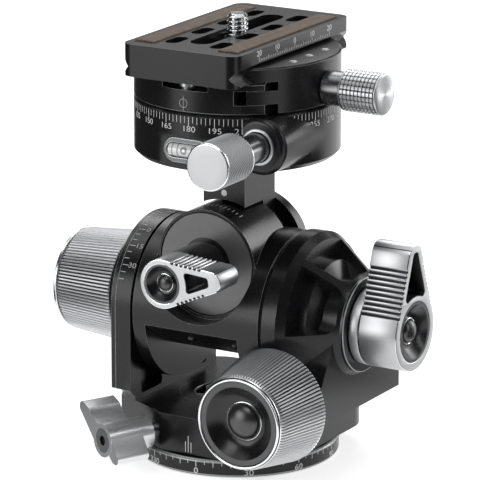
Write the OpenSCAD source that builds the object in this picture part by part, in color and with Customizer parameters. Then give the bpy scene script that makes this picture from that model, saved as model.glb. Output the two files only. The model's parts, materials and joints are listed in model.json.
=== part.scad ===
// Geared two-axis camera head with a panning base and a panning quick-release clamp.
// X runs along the tilt axis, -Y faces the operator and Z is up.
// The origin is the centre of the underside of the panning base.

/* [Panning base] */
// Radius of the base disc
base_r = 30; // [29:0.5:33]
// Height of the base disc
base_h = 5; // [4.5:0.25:6]
// Radius of the spindle that the yoke turns on
spindle_r = 13; // [12:0.5:14]
// Height of the spindle above the base disc
spindle_h = 7.2; // [7.1:0.1:7.4]
// Outer radius of the threaded tripod bush
bush_r = 7.5; // [6.5:0.25:8]
// Radius of the tripod thread's wall
socket_r = 4.1; // [3.9:0.1:4.8]
// Depth of the tripod socket
socket_depth = 9; // [7:0.5:10]

/* [Yoke] */
// Half width of the yoke block
block_x = 29; // [28:0.5:31]
// Distance from the pan axis to the block's front face
block_front = 28; // [27.5:0.25:28.5]
// Distance from the pan axis to the block's back face
block_back = 30; // [28:0.5:32]
// Height of the block's top face
block_top = 16.4; // [16:0.2:17]
// Radius of the block's upright corners
block_corner_r = 11; // [8:0.5:13]
// Radius of the round level's cup in the block
level_r = 13.8; // [12:0.2:14]
// Radius of the round level's glass
level_glass_r = 9; // [7:0.25:10]
// Height of the tilt axis
tilt_z = 44; // [43.5:0.25:45]
// Half of the clear width between the arms
yoke_half = 22; // [21.8:0.1:22.5]
// Thickness of the left arm
arm_t = 5; // [4.5:0.25:6]
// Radius of the left arm's round top
arm_r = 24.3; // [23.5:0.1:24.6]
// Thickness of the left arm's cover plate
cover_t = 1.6; // [1.2:0.1:2]
// Angle of the pan lock from straight ahead
lock_angle = 26; // [22:1:30]
// Distance of the pan lock's flat from the pan axis
lock_flat = 29.2; // [28.8:0.1:29.6]
// Height of the pan lock's axis
lock_z = 10; // [9.6:0.1:10.4]

/* [Gear housing] */
// Radius of the housing's ring flange
ring_r = 25; // [24.6:0.1:25.6]
// Thickness of the ring flange
ring_t = 5; // [4:0.25:5.5]
// Distance from the yoke's middle to the housing's outer end
cone_x = 42; // [41:0.5:43]
// Radius of the housing's outer end
cone_r = 14.5; // [14:0.25:15.5]
// Number of ribs round the housing
rib_count = 6; // [5:1:8]
// Thickness of a rib
rib_t = 2.4; // [1.6:0.2:3]
// Radius of the core behind the windows
core_r = 12.4; // [12:0.2:13]
// Height of the worm housing's underside
arm_bottom = 18.5; // [18.5:0.25:19.5]
// Distance from the yoke's middle to the worm housing's outer face
arm_x = 40.5; // [38.5:0.5:40.5]

/* [Gears] */
// Size of the teeth, as pitch diameter over their number
gear_module = 1; // [0.9:0.05:1.05]
// Number of teeth on the tilt wheel
tilt_teeth = 30; // [28:1:31]
// Number of teeth on the roll wheel
roll_teeth = 24; // [22:1:25]
// Pitch radius of both worms
worm_pitch_r = 4; // [3.9:0.05:4.1]
// Thickness of both wheels
wheel_t = 4.4; // [4:0.2:4.6]
// Radius of both worm shafts
worm_shaft_r = 3; // [2.8:0.1:3]
// Distance from the yoke's middle to the tilt worm
tilt_worm_x = 29; // [28.8:0.1:29.4]

/* [Drum] */
// Radius of the tilting drum
drum_r = 24.4; // [23.6:0.1:24.6]
// Thickness of the drum's left flange
left_flange_t = 4.5; // [3.5:0.25:5]
// Thickness of the drum's right flange
right_flange_t = 7.5; // [6:0.5:8]
// Height of the flat under the drum
drum_flat_z = 31.4; // [30.8:0.2:32]
// Radius of the trunnions
trunnion_r = 10; // [9:0.25:10.5]
// Radius of the roll barrel
barrel_r = 16.2; // [16:0.1:16.4]
// Distance from the tilt axis to the barrel's front end
barrel_front = 17.6; // [17.2:0.1:18]
// Distance from the tilt axis to the barrel's rear end
barrel_rear = 17.5; // [16.5:0.25:18]
// Radius of the front ring
front_ring_r = 15.3; // [15:0.1:15.4]
// Radius of the front boss
boss_r = 7.2; // [6.6:0.1:7.6]
// Distance from the tilt axis to the boss's front end
boss_front = 31.8; // [30:0.2:32.5]

/* [Post] */
// Half width of the post
post_half = 7; // [6:0.25:7]
// Distance from the tilt axis to the post's front face
post_front = 7.6; // [7.4:0.1:9.2]
// Distance from the tilt axis to the post's back face
post_back = 9.6; // [9:0.1:10]
// Distance from the tilt axis to the front of the post's web
web_front = 2.9; // [2.8:0.05:3.2]
// Radius of the post's ring
hub_r = 12.5; // [12:0.25:13.25]
// Radius of the roll shaft
roll_shaft_r = 5; // [4.6:0.1:5.2]

/* [Pan head] */
// Radius of the pan disc and of the clamp
disc_r = 30; // [29.5:0.25:31]
// Height of the pan disc's underside
disc_z = 90.5; // [90.25:0.25:91]
// Height of the pan disc
disc_h = 16.5; // [16.2:0.1:16.8]
// Radius of the spindle that the clamp turns on
axle_r = 18; // [17.6:0.1:18.2]
// Depth of the clamp's spindle in the pan disc
axle_h = 11.6; // [11:0.2:12]
// Radius of the lock lug
lug_r = 8.5; // [8.1:0.1:8.5]
// Distance from the pan axis to the lug's bore
lug_x = 21.5; // [21.3:0.1:21.8]
// Distance from the pan axis to the lug's front face
lug_front = 25; // [24.5:0.25:26]
// Distance from the pan axis to the flat that holds the level
level_flat = 28.7; // [28.3:0.1:29]

/* [Clamp and plate] */
// Height of the clamp's disc
clamp_h = 9.3; // [9:0.1:9.6]
// Height of the jaws above the clamp's floor
jaw_h = 4.4; // [4.2:0.1:4.6]
// Width of the plate's dovetail
plate_w = 38; // [38:0.1:38.4]
// Length of the plate
plate_l = 66; // [62:1:72]
// Thickness of the plate
plate_t = 9.4; // [9:0.1:9.8]
// Depth of the dovetail's groove
groove_d = 2.4; // [2:0.1:2.6]
// Thickness of the plate above its groove
slab_t = 4; // [3.7:0.1:4.2]
// Radius of the camera screw
camera_r = 3.175; // [2.5:0.025:3.3]
// Height of the camera screw above the plate
camera_h = 4.9; // [4.5:0.1:6.5]
// Distance that the jaw opens
jaw_travel = 2.6; // [2:0.1:2.8]

/* [Front knob] */
// Radius at the knob's back edge
knob_back_r = 17; // [16:0.25:17.25]
// Radius at the knob's front edge
knob_front_r = 13.6; // [13:0.2:14.5]
// Length of the knob
knob_len = 20.5; // [18:0.5:22]
// Number of ribs round a large knob
knob_ribs = 64; // [48:4:80]

/* [Left knob] */
// Radius at the left knob's inner edge
left_knob_in_r = 17; // [16:0.25:17.25]
// Radius at the left knob's outer edge
left_knob_out_r = 15.2; // [14:0.2:15.6]
// Length of the left knob
left_knob_len = 21; // [18:0.5:23]
// Length of the black collar beside it
collar_len = 5.2; // [4:0.2:6]

/* [Levers] */
// Radius of the tilt lever's hub
tilt_hub_r = 11.5; // [10.5:0.25:12]
// Distance from the tilt lever's axis to its tip
tilt_lever_len = 26; // [24:0.5:27]
// Width of the tilt lever along its axis
tilt_lever_w = 15.6; // [14:0.2:16]
// Radius of the roll lever's hub
roll_hub_r = 7.2; // [6.8:0.1:7.6]
// Distance from the roll lever's axis to its tip
roll_lever_len = 19.6; // [18:0.2:21]
// Width of the roll lever along its axis
roll_lever_w = 10.2; // [9:0.2:10.6]

/* [Hidden] */
$fn = 72;
// Overrun of every cut
over = 1;
// Running clearance of a shaft in its bore, on the radius
run = 0.05;
// Gap between pieces that pass each other
gap = 0.3;
// Bevel along the machined edges
bevel = 0.5;
// Colours of the finishes
black = "#1d1d1f";
dark = "#2c2c2e";
satin = "#b9bbbd";
steel = "#c9cbce";
brass = "#b08d4f";
glass = "#d9e6df";
rubber = "#5b4a42";

// Panning base
yoke_z = base_h + gap;
spindle_top = base_h + spindle_h;
spindle_groove = 1.4;
base_screw_r = 1.25;
base_screw_head_r = 2.3;
base_screw_head_h = 1.3;
base_screw_ring = (bush_r + spindle_r) / 2;
base_screw_count = 3;
bush_roof = 1.6;
base_screw_len = base_h + spindle_h * 0.4;

// Level in the block
level_x = -4;
level_web = 1;
level_floor = 0.8;
level_z = spindle_top + gap + level_web;

// Pan lock
lock_stud_r = 2.25;
shoe_tip_r = 0.4;
shoe_cone = 1.2;
shoe_len = 6;
wing_clear = 2;
wing_start = base_r + wing_clear;
wing_hub_r = 5;
wing_hub_len = 14.8;
wing_blade_len = 10.8;
wing_step = 0.3;
wing_long = 13.4;
wing_short = 7.6;
wing_tip_r = 1.7;
wing_hollow_r = 9;
wing_waist = 1.6;
wing_hollow_share = 0.55;
wing_angle = 148;
wing_cap_r = 3.6;
wing_cap_depth = 2;
hex_r = 1.5;

// Left arm
arm_x0 = yoke_half + arm_t;
cover_x0 = arm_x0 + cover_t;
cover_z = block_top;
cover_screw_r = 1.2;
cover_screw_inset = 2.6;
cover_screw_ring = arm_r - cover_screw_inset;
cover_screw_angles = [25, 65, 115, 155, 205, 335];
cover_screw_len = 3.2;
bush_wall = 1.2;
tilt_bush_r = trunnion_r + bush_wall;
pocket_y = 12.6;
pocket_w = 11.6;
pocket_rise = 1.2;
pocket_z = block_top + pocket_rise;
pocket_h = 10;
pocket_depth = 3.2;
flat_rise = 2.5;
collar_r = 14.5;

// Gears
worm_lead = PI * gear_module;
tilt_wheel_r = tilt_teeth * gear_module / 2;
roll_wheel_r = roll_teeth * gear_module / 2;
tooth_out = 0.75 * gear_module;
tooth_in = 0.95 * gear_module;
thread_out = 0.7 * gear_module;
thread_in = 0.9 * gear_module;
tooth_tip_share = 0.15;
tooth_root_share = 0.33;
thread_tip_share = 0.13;
thread_root_share = 0.31;
thread_steps = 18;
thread_turns = 4;
tilt_worm_z = tilt_z - tilt_wheel_r - worm_pitch_r;
roll_z = tilt_z + roll_wheel_r + worm_pitch_r;

// Gear housing
wheel_room = 0.4;
case_x0 = tilt_worm_x - wheel_t / 2 - gap;
case_x1 = tilt_worm_x + wheel_t / 2 + gap;
case_r = tilt_wheel_r + tooth_out + wheel_room;
case_wall = 1.2;
wall_x = case_x1 + case_wall;
core_flare = 2.6;
window_rim = 2.4;
window_x0 = yoke_half + ring_t + window_rim;
hub_rim = 0.9;
window_x1 = cone_x - hub_rim;
window_corner = 3;
corner_step = 18;
corner_turn = 72;
rib_start = 3;
arm_half = ring_r;
arm_hub_r = 12;
arm_edge_h = 5;
worm_case_r = 6.6;
worm_room_r = worm_pitch_r + thread_out + wheel_room;
worm_bush_len = 5;
housing_foot_z = block_top;

// Tilt shaft, levers and their dishes
tilt_shaft_r = 5;
tilt_shaft_in = 14;
shaft_cover = 5;
tilt_shaft_out = cone_x - shaft_cover;
shaft_wall = 1;
lever_stud_r = 2.5;
lever_collar_r = 14;
lever_collar_t = 1.2;
tilt_lever_x0 = cone_x + lever_collar_t + gap / 2;
tilt_lever_x1 = tilt_lever_x0 + tilt_lever_w;
tilt_lever_back = 3.4;
tilt_lever_tip_r = 4;
tilt_dish_r = 8.7;
roll_lever_tip_r = 3.2;
roll_dish_r = 5.6;
dish_depth = 3;
dish_wall = 0.8;
dome_share = 0.42;
dome_rise_share = 0.25;
dome_steps = 6;
tilt_grooves = 9;
roll_grooves = 7;
lever_groove_r = 0.5;
lever_groove_step = 1.5;
roll_lever_angle = 9.5;

// Drum
drum_clear = 0.5;
drum_half = yoke_half - drum_clear;
drum_front_z = 41;
drum_flat_y = 8;
roll_room_r = roll_wheel_r + tooth_out + wheel_room;
slot_front = web_front - gap;
hub_front = worm_pitch_r + thread_out + wheel_room;
slot_back = post_back + gap;
slot_moat = 3.3;
slot_r = hub_r + slot_moat;
trunnion_len = arm_t - gap;
drum_screw_r = 1.6;
drum_screw_h = 0.6;
drum_screw_len = 3;
drum_screw_xs = [-6, 9];
roll_bush_r = roll_shaft_r + bush_wall;
roll_bush_len = 6;
ring_seat = 1.4;
rear_cap_r = 13;
rear_cap_t = 1.6;
barrel_step = 4.3;

// Front knob
front_knob_back = block_front + gap;
front_knob_face = front_knob_back + knob_len;
knob_bead = 1.6;
knob_groove = 0.75;
knob_dish_r = 10.9;
left_dish_r = 11.6;
knob_dish_depth = 4;
knob_collar_r = 8;

// Left knob
left_knob_x0 = cover_x0 + collar_len + gap;
left_knob_x1 = left_knob_x0 + left_knob_len;

// Post and pan disc
arc_clear = 0.8;
post_arc_r = barrel_r + arc_clear;
post_top = disc_z;
post_screw_r = 1.6;
post_screw_x = 4;
post_screw_head_r = 2.3;
post_screw_len = 9;
disc_round = 1.3;
axle_top = disc_z + disc_h;
axle_z = axle_top - axle_h;
axle_clear = 0.1;
lug_rise = 8.6;
lug_z = disc_z + lug_rise;
lug_bore_r = 4.3;
lug_round = 2;
lug_shaft_in = 4;
cotter_r = lug_bore_r - run;
cotter_front = 13;
cotter_back = 9;
axle_groove_r = lug_bore_r + gap;
lock_screw_r = 2.5;
disc_knob_r = 6.9;
disc_knob_len = 14.5;
disc_knob_face = 52.5;
disc_knob_back = disc_knob_len - disc_knob_face;
facet_h = 10.1;
vial_rise = 5.4;
vial_z = disc_z + vial_rise;
vial_w = 14.8;
vial_h = 7.2;
vial_depth = 3;
vial_glass_r = 2.2;
vial_wall = 0.8;

// Clamp
clamp_z = disc_z + disc_h + gap;
clamp_floor = clamp_z + clamp_h;
clamp_top = clamp_floor + jaw_h;
plate_z = clamp_floor;
jaw_x = 24;
jaw_body_x = jaw_x - jaw_travel;
tongue_x = 17.4;
tongue_clear = 0.5;
tongue_room_x = tongue_x - jaw_travel - tongue_clear;
tongue_low = 3.2;
tongue_high = 7;
tongue_z0 = clamp_z + tongue_low;
tongue_z1 = clamp_z + tongue_high;
lip_clear = 0.3;
clamp_knob_z = (tongue_z0 + tongue_z1) / 2;
clamp_screw_r = 1.6;
clamp_collar_r = 5;
clamp_collar_x = 36;
clamp_knob_r = 6.1;
clamp_knob_x = 48.5;
clamp_screw_in = 3;
guide_r = 1.1;
guide_y = 14;
guide_in = 8;
guide_out = 25.3;
axle_stub_r = 6;
axle_stub_h = 3;
pin_y = 27.2;
pin_r = 2.5;
pin_h = 5.2;
pin_travel = 2;
notch_w = 15;
notch_h = 2.6;
notch_d = 6;
jaw_screw_r = 1.2;
jaw_screw_x = 23.8;
jaw_screw_step = 9.2;
jaw_screw_h = 3;

// Plate
plate_corner_r = 3.5;
slot_clear = 0.35;
slot_w = 2 * (camera_r + slot_clear);
slot_l = 46;
small_slot_w = 4.4;
small_slot_l = 9;
small_slot_x = 7.4;
small_slot_step = 14.2;
small_slot_count = 4;
strip_x0 = 10.6;
strip_x1 = 16.8;
strip_l = 57;
strip_t = 0.5;
strip_sink = 0.4;
head_room_w = 12;
head_room_h = 3.4;
washer_r = 5.4;
washer_t = 0.5;
camera_neck = 0.6;
camera_thread_rise = 0.7;
camera_head_r = 5.6;
camera_head_h = 2.6;

// Cylinder along X from x0 to x1
module bar_x(x0, x1, r) {
    translate([x0, 0, 0])
        rotate([0, 90, 0])
            cylinder(h = x1 - x0, r = r);
}

// Cylinder along Y from y0 to y1
module bar_y(y0, y1, r) {
    translate([0, y1, 0])
        rotate([90, 0, 0])
            cylinder(h = y1 - y0, r = r);
}

// Turned solid along X: a list of [distance, radius] steps
module turned_x(steps) {
    rotate([0, 90, 0])
        rotate_extrude()
            polygon(concat([[0, steps[0][0]]], [for (s = steps) [s[1], s[0]]],
                [[0, steps[len(steps) - 1][0]]]));
}

// Turned solid along Z: a list of [height, radius] steps
module turned_z(steps) {
    rotate_extrude()
        polygon(concat([[0, steps[0][0]]], [for (s = steps) [s[1], s[0]]],
            [[0, steps[len(steps) - 1][0]]]));
}

// Flat outline drawn in the YZ plane and given a thickness along X
module slab_x(x0, x1) {
    translate([x0, 0, 0])
        rotate([90, 0, 90])
            linear_extrude(x1 - x0)
                children();
}

// Flat outline drawn in the XZ plane and given a depth from y0 to y1
module slab_y(y0, y1) {
    translate([0, y1, 0])
        rotate([90, 0, 0])
            linear_extrude(y1 - y0)
                children();
}

// Places a piece on the pan lock's axis, which points outward along -Y before the turn
module at_lock() {
    rotate([0, 0, -lock_angle])
        translate([0, 0, lock_z])
            children();
}

module at_tilt() {
    translate([0, 0, tilt_z])
        children();
}

module at_roll() {
    translate([0, 0, roll_z])
        children();
}

// Rounded rectangle from two corners
module rounded(x0, x1, y0, y1, r) {
    translate([x0 + r, y0])
        square([x1 - x0 - 2 * r, y1 - y0]);
    translate([x0, y0 + r])
        square([x1 - x0, y1 - y0 - 2 * r]);
    for (x = [x0 + r, x1 - r], y = [y0 + r, y1 - r])
        translate([x, y])
            circle(r);
}

// Two circles and their common tangents: a hub at the origin and a tip at distance d along +Y
module pear(hub, tip, d) {
    a = asin((hub - tip) / d);
    circle(hub);
    translate([0, d])
        circle(tip);
    polygon([
        [hub * cos(a), hub * sin(a)],
        [tip * cos(a), d + tip * sin(a)],
        [-tip * cos(a), d + tip * sin(a)],
        [-hub * cos(a), hub * sin(a)],
    ]);
}

// Slot with round ends, along Y
module stadium(w, l) {
    square([w, l - w], center = true);
    for (s = [-1, 1])
        translate([0, s * (l - w) / 2])
            circle(d = w);
}

// Wheel with straight-flanked teeth and one gap on the -Y side of its outline
module wheel_outline(teeth, r) {
    step = 360 / teeth;
    pitch = 2 * PI * r / teeth;
    circle(r - tooth_in);
    for (i = [0 : teeth - 1])
        rotate(step * (i + 0.5) - 90)
            polygon([
                [r - 2 * tooth_in, -pitch * tooth_root_share],
                [r - tooth_in, -pitch * tooth_root_share],
                [r + tooth_out, -pitch * tooth_tip_share],
                [r + tooth_out, pitch * tooth_tip_share],
                [r - tooth_in, pitch * tooth_root_share],
                [r - 2 * tooth_in, pitch * tooth_root_share],
            ]);
}

// One ring of the worm's thread at a turn of a degrees
function thread_ring(a) = [
    for (p = [
        [worm_pitch_r - 1.6 * thread_in, -thread_root_share],
        [worm_pitch_r + thread_out, -thread_tip_share],
        [worm_pitch_r + thread_out, thread_tip_share],
        [worm_pitch_r - 1.6 * thread_in, thread_root_share],
    ])
        [p[0] * cos(a), p[0] * sin(a), worm_lead * (a / 360 + p[1])],
];

// Right-hand thread centred on the origin, which faces +X at its middle
module worm_thread() {
    n = thread_steps * thread_turns;
    rings = [for (i = [0 : n]) each thread_ring((i - n / 2) * 360 / thread_steps)];
    sides = [
        for (i = [0 : n - 1], j = [0 : 3])
            let (a = 4 * i + j, b = 4 * i + (j + 1) % 4)
                each [[a, b, b + 4], [a, b + 4, a + 4]],
    ];
    polyhedron(points = rings, faces = concat([[3, 2, 1, 0]], sides, [[for (j = [0 : 3]) 4 * n + j]]));
}

// Worm on its shaft, along Z, with the shaft running from z0 to z1
module worm(z0, z1) {
    half = worm_lead * thread_turns / 2 + gear_module;
    worm_thread();
    translate([0, 0, -half])
        cylinder(h = 2 * half, r = worm_pitch_r - thread_in);
    translate([0, 0, z0])
        cylinder(h = z1 - z0, r = worm_shaft_r);
}

// Knob along Z with straight ribs, its back edge at zero and a smooth bead round its face
module ribbed_knob(length, back_r, front_r, ribs, dish_r) {
    slope = atan((back_r - front_r) / length);
    difference() {
        turned_z([
            [0, back_r - bevel],
            [bevel, back_r],
            [length - bevel, front_r],
            [length, front_r - bevel],
        ]);
        for (i = [0 : ribs - 1])
            rotate([0, 0, i * 360 / ribs])
                translate([back_r, 0, 0])
                    rotate([0, -slope, 0])
                        rotate([0, 0, 45])
                            translate([-knob_groove / 2, -knob_groove / 2, -over])
                                cube([knob_groove, knob_groove, length + over - knob_bead]);
        translate([0, 0, length - knob_dish_depth])
            cylinder(h = knob_dish_depth + over, r = dish_r);
    }
}

// Black dish with a domed middle, its face at zero and its depth below
module dish_cap(r, depth) {
    dome = r * dome_share;
    turned_z([
        [-depth, r],
        [0, r],
        [0, r - dish_wall],
        [-depth + dish_wall, dome + dish_wall],
        [-depth + dish_wall, dome],
        [-depth / 2, dome],
        for (i = [1 : dome_steps - 1])
            [-depth / 2 + dome * dome_rise_share * sin(90 * i / dome_steps), dome * cos(90 * i / dome_steps)],
    ]);
}

module base_disc() {
    color(black)
        difference() {
            turned_z([
                [0, base_r - bevel],
                [bevel, base_r],
                [base_h - bevel, base_r],
                [base_h, base_r - bevel],
            ]);
            translate([0, 0, -over])
                cylinder(h = base_h + 2 * over, r = bush_r);
            base_screw_places()
                base_screw(over);
        }
}

module base_screw_places() {
    for (i = [0 : base_screw_count - 1])
        rotate([0, 0, i * 360 / base_screw_count])
            translate([base_screw_ring, 0, 0])
                children();
}

// Countersunk screw with its head down, or its hole when it starts lower
module base_screw(extra) {
    turned_z([
        [-extra, base_screw_head_r],
        [0, base_screw_head_r],
        [base_screw_head_h, base_screw_r],
        [base_screw_len, base_screw_r],
    ]);
}

module tripod_bush() {
    color(steel)
        difference() {
            cylinder(h = socket_depth + bush_roof, r = bush_r);
            translate([0, 0, -over])
                cylinder(h = socket_depth + over, r = socket_r);
        }
}

module pan_spindle() {
    color(steel)
        difference() {
            turned_z([
                [base_h, spindle_r],
                [lock_z - spindle_groove, spindle_r],
                [lock_z, spindle_r - spindle_groove],
                [lock_z + spindle_groove, spindle_r],
                [spindle_top, spindle_r],
            ]);
            translate([0, 0, base_h - over])
                cylinder(h = socket_depth + bush_roof - base_h + over, r = bush_r);
            base_screw_places()
                base_screw(0);
        }
}

module spindle_screws() {
    color(steel)
        base_screw_places()
            difference() {
                base_screw(0);
                translate([0, 0, -over])
                    cylinder(h = over + base_screw_head_h, r = base_screw_r * 0.8, $fn = 6);
            }
}

// Side view of the left arm above a height
module arm_outline(z0) {
    translate([0, tilt_z])
        circle(arm_r);
    translate([-arm_r, z0])
        square([2 * arm_r, tilt_z - z0]);
}

// Material that the pan lock's flat takes off the front left corner
module lock_flat_cut() {
    rotate([0, 0, -lock_angle])
        slab_x(-block_x - over, block_x)
            polygon([
                [-lock_flat, yoke_z - over],
                [-lock_flat, block_top + over],
                [-lock_flat - flat_rise, block_top + over + flat_rise],
                [-2 * lock_flat, block_top + over + flat_rise],
                [-2 * lock_flat, yoke_z - over],
            ]);
}

module cover_screw_places() {
    for (a = cover_screw_angles)
        translate([0, cover_screw_ring * cos(a), tilt_z + cover_screw_ring * sin(a)])
            children();
}

module yoke_frame() {
    color(black)
        difference() {
            union() {
                translate([0, 0, yoke_z])
                    linear_extrude(block_top - yoke_z)
                        rounded(-block_x, block_x, -block_front, block_back, block_corner_r);
                slab_x(-arm_x0, -yoke_half)
                    arm_outline(block_top - over);
            }
            lock_flat_cut();
            translate([0, 0, yoke_z - over])
                cylinder(h = level_z - level_web - yoke_z + over, r = spindle_r + run);
            translate([level_x, 0, level_z])
                cylinder(h = block_top - level_z + over, r = level_r);
            at_lock()
                bar_y(-lock_flat - over, -spindle_r + over, lock_stud_r + run);
            at_tilt()
                bar_x(-arm_x0 - over, -yoke_half + over, tilt_bush_r);
            for (s = [-1, 1])
                slab_x(-yoke_half - pocket_depth, -yoke_half + over)
                    translate([s * pocket_y - pocket_w / 2, pocket_z])
                        rounded(0, pocket_w, 0, pocket_h, 2 * bevel);
            cover_screw_places()
                bar_x(-arm_x0 - over, cover_screw_len - cover_x0, cover_screw_r);
        }
}

module left_cover() {
    color(dark)
        difference() {
            slab_x(-cover_x0, -arm_x0)
                arm_outline(cover_z);
            lock_flat_cut();
            at_tilt()
                bar_x(-block_x - over, -yoke_half, worm_shaft_r + run + gap);
            cover_screw_places()
                bar_x(-block_x - over, over - arm_x0, cover_screw_r);
        }
}

module cover_screws() {
    color(steel)
        cover_screw_places()
            difference() {
                bar_x(-cover_x0, cover_screw_len - cover_x0, cover_screw_r);
                bar_x(-block_x - over, cover_t / 2 - cover_x0, cover_screw_r / 2);
            }
}

// Tangent point on a circle of radius r round the origin, seen from point p, on side s
function tangent(p, r, s) =
    let (a = atan2(p[1], p[0]) + s * acos(r / norm(p)))
        [r * cos(a), r * sin(a)];

// Side view of the worm housing: a hub on the tilt axis that widens to a flat foot
module worm_arm_outline(z0) {
    shoulder = arm_bottom + arm_edge_h - tilt_z;
    right = tangent([arm_half, shoulder], arm_hub_r, 1);
    circle(arm_hub_r);
    polygon([
        [-arm_half, z0 - tilt_z],
        [arm_half, z0 - tilt_z],
        [arm_half, shoulder],
        right,
        [-right[0], right[1]],
        [-arm_half, shoulder],
    ]);
}

// One rib from above, along X, widened in a hollow curve where it meets the hub's rim
module rib_outline() {
    x1 = window_x1 - window_corner;
    y1 = rib_t / 2 + window_corner;
    half = concat(
        [[window_x0 - over, rib_t / 2]],
        [for (a = [0 : corner_step : corner_turn])
            [x1 + window_corner * sin(a), y1 - window_corner * cos(a)]],
        [[window_x1 + over, y1 + over]]
    );
    polygon(concat(half, [for (i = [len(half) - 1 : -1 : 0]) [half[i][0], -half[i][1]]]));
}

// Spaces between the ribs in the cone's upper half, down to a smooth core
module windows() {
    difference() {
        rotate([0, 90, 0])
            rotate_extrude()
                polygon([
                    [case_r + case_wall, window_x0],
                    [ring_r + over, window_x0],
                    [ring_r + over, window_x1],
                    [core_r, window_x1],
                    [core_r, wall_x + core_flare],
                    [case_r + case_wall, wall_x],
                ]);
        for (i = [0 : rib_count - 1])
            rotate([rib_start - 90 + i * 360 / rib_count, 0, 0])
                linear_extrude(ring_r + 2 * over)
                    rib_outline();
        rotate([rib_start, 0, 0])
            translate([window_x0 - over, -ring_r - 2 * over, -ring_r - 2 * over])
                cube([window_x1 - window_x0 + 2 * over, 2 * ring_r + 4 * over, ring_r + 2 * over]);
    }
}

module gear_housing() {
    flange_x = yoke_half + ring_t;
    color(black)
        difference() {
            union() {
                at_tilt() {
                    difference() {
                        turned_x([
                            [yoke_half, ring_r - bevel],
                            [yoke_half + bevel, ring_r],
                            [flange_x, ring_r],
                            [cone_x - bevel, cone_r],
                            [cone_x, cone_r - bevel],
                        ]);
                        windows();
                    }
                    slab_x(block_x, arm_x)
                        worm_arm_outline(arm_bottom);
                    slab_x(yoke_half, block_x)
                        worm_arm_outline(housing_foot_z);
                }
                translate([tilt_worm_x, 0, tilt_worm_z])
                    bar_y(-arm_half, arm_half, worm_case_r);
            }
            at_tilt() {
                bar_x(yoke_half - over, case_x0, tilt_bush_r);
                bar_x(case_x0, case_x1, case_r);
                bar_x(case_x0, tilt_shaft_out, tilt_shaft_r + run);
                bar_x(case_x0, cone_x + over, lever_stud_r + run);
            }
            translate([tilt_worm_x, 0, tilt_worm_z])
                bar_y(-arm_half - over, arm_half + over, worm_room_r);
        }
}

module tilt_bushes() {
    color(brass)
        at_tilt()
            for (x = [[-arm_x0, -yoke_half], [yoke_half, case_x0]])
                difference() {
                    bar_x(x[0], x[1], tilt_bush_r);
                    bar_x(x[0] - over, x[1] + over, trunnion_r + run);
                }
}

module worm_bushes() {
    color(brass)
        translate([tilt_worm_x, 0, tilt_worm_z])
            for (y = [-arm_half, arm_half - worm_bush_len])
                difference() {
                    bar_y(y, y + worm_bush_len, worm_room_r);
                    bar_y(-arm_half - over, arm_half - bush_roof, worm_shaft_r + run);
                }
}

module pan_lock_shoe() {
    tip = spindle_r - spindle_groove + shoe_tip_r;
    color(brass)
        at_lock()
            rotate([90, 0, 0])
                translate([0, 0, tip]) {
                    cylinder(h = shoe_cone, r1 = shoe_tip_r - 2 * run, r2 = shoe_tip_r + shoe_cone - 2 * run);
                    translate([0, 0, shoe_cone])
                        cylinder(h = shoe_len, r = lock_stud_r);
                }
}

module level_cup() {
    color(black)
        translate([level_x, 0, 0])
            difference() {
                translate([0, 0, level_z])
                    turned_z([[0, level_r], [block_top - level_z - run, level_r]]);
                translate([0, 0, level_z + level_floor])
                    cylinder(h = block_top, r = level_glass_r);
            }
}

module level_vial() {
    color(glass)
        translate([level_x, 0, level_z + level_floor])
            cylinder(h = block_top - level_z - level_floor - gap, r = level_glass_r);
}

module lever_collar() {
    color(black)
        at_tilt()
            difference() {
                bar_x(cone_x, cone_x + lever_collar_t, lever_collar_r);
                bar_x(cone_x - over, cone_x + lever_collar_t + over, lever_stud_r + run);
            }
}

module left_collar() {
    color(black)
        at_tilt()
            difference() {
                bar_x(-cover_x0 - collar_len, -cover_x0, collar_r);
                bar_x(-cover_x0 - collar_len - over, over - cover_x0, worm_shaft_r + run);
            }
}

// One blade of the wing, along +Y from inside the hub, hollowed on one side
module wing_blade(length) {
    root = wing_hub_r - bevel;
    a = asin((root - wing_tip_r) / length);
    difference() {
        union() {
            translate([0, length])
                circle(wing_tip_r);
            polygon([
                [root * cos(a), root * sin(a)],
                [wing_tip_r * cos(a), length + wing_tip_r * sin(a)],
                [-wing_tip_r * cos(a), length + wing_tip_r * sin(a)],
                [-root * cos(a), root * sin(a)],
            ]);
        }
        translate([wing_hollow_r + wing_waist, length * wing_hollow_share])
            circle(wing_hollow_r);
    }
}

module pan_lock_wing() {
    face = wing_start + wing_hub_len;
    color(satin)
        at_lock()
            difference() {
                union() {
                    bar_y(-face, -wing_start, wing_hub_r);
                    slab_y(-face + wing_step, -face + wing_blade_len) {
                        rotate(wing_angle - 90)
                            wing_blade(wing_long);
                        rotate(wing_angle + 90)
                            wing_blade(wing_short);
                    }
                }
                bar_y(-face + wing_cap_depth, -wing_start + over, lock_stud_r);
                bar_y(-face - over, -face + wing_cap_depth, wing_cap_r);
            }
}

module pan_lock_stud() {
    face = wing_start + wing_hub_len;
    inner = spindle_r - spindle_groove + shoe_tip_r + shoe_cone + shoe_len;
    color(steel)
        at_lock()
            bar_y(-face + wing_cap_depth, -inner, lock_stud_r);
}

module pan_lock_cap() {
    face = wing_start + wing_hub_len;
    color(dark)
        at_lock()
            difference() {
                bar_y(-face, -face + wing_cap_depth, wing_cap_r);
                bar_y(-face - over, -face + wing_cap_depth / 2, hex_r, $fn = 6);
            }
}

// Places a piece on the tilt worm's axis with its outer end toward the operator
module at_tilt_worm() {
    translate([tilt_worm_x, 0, tilt_worm_z])
        children();
}

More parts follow.
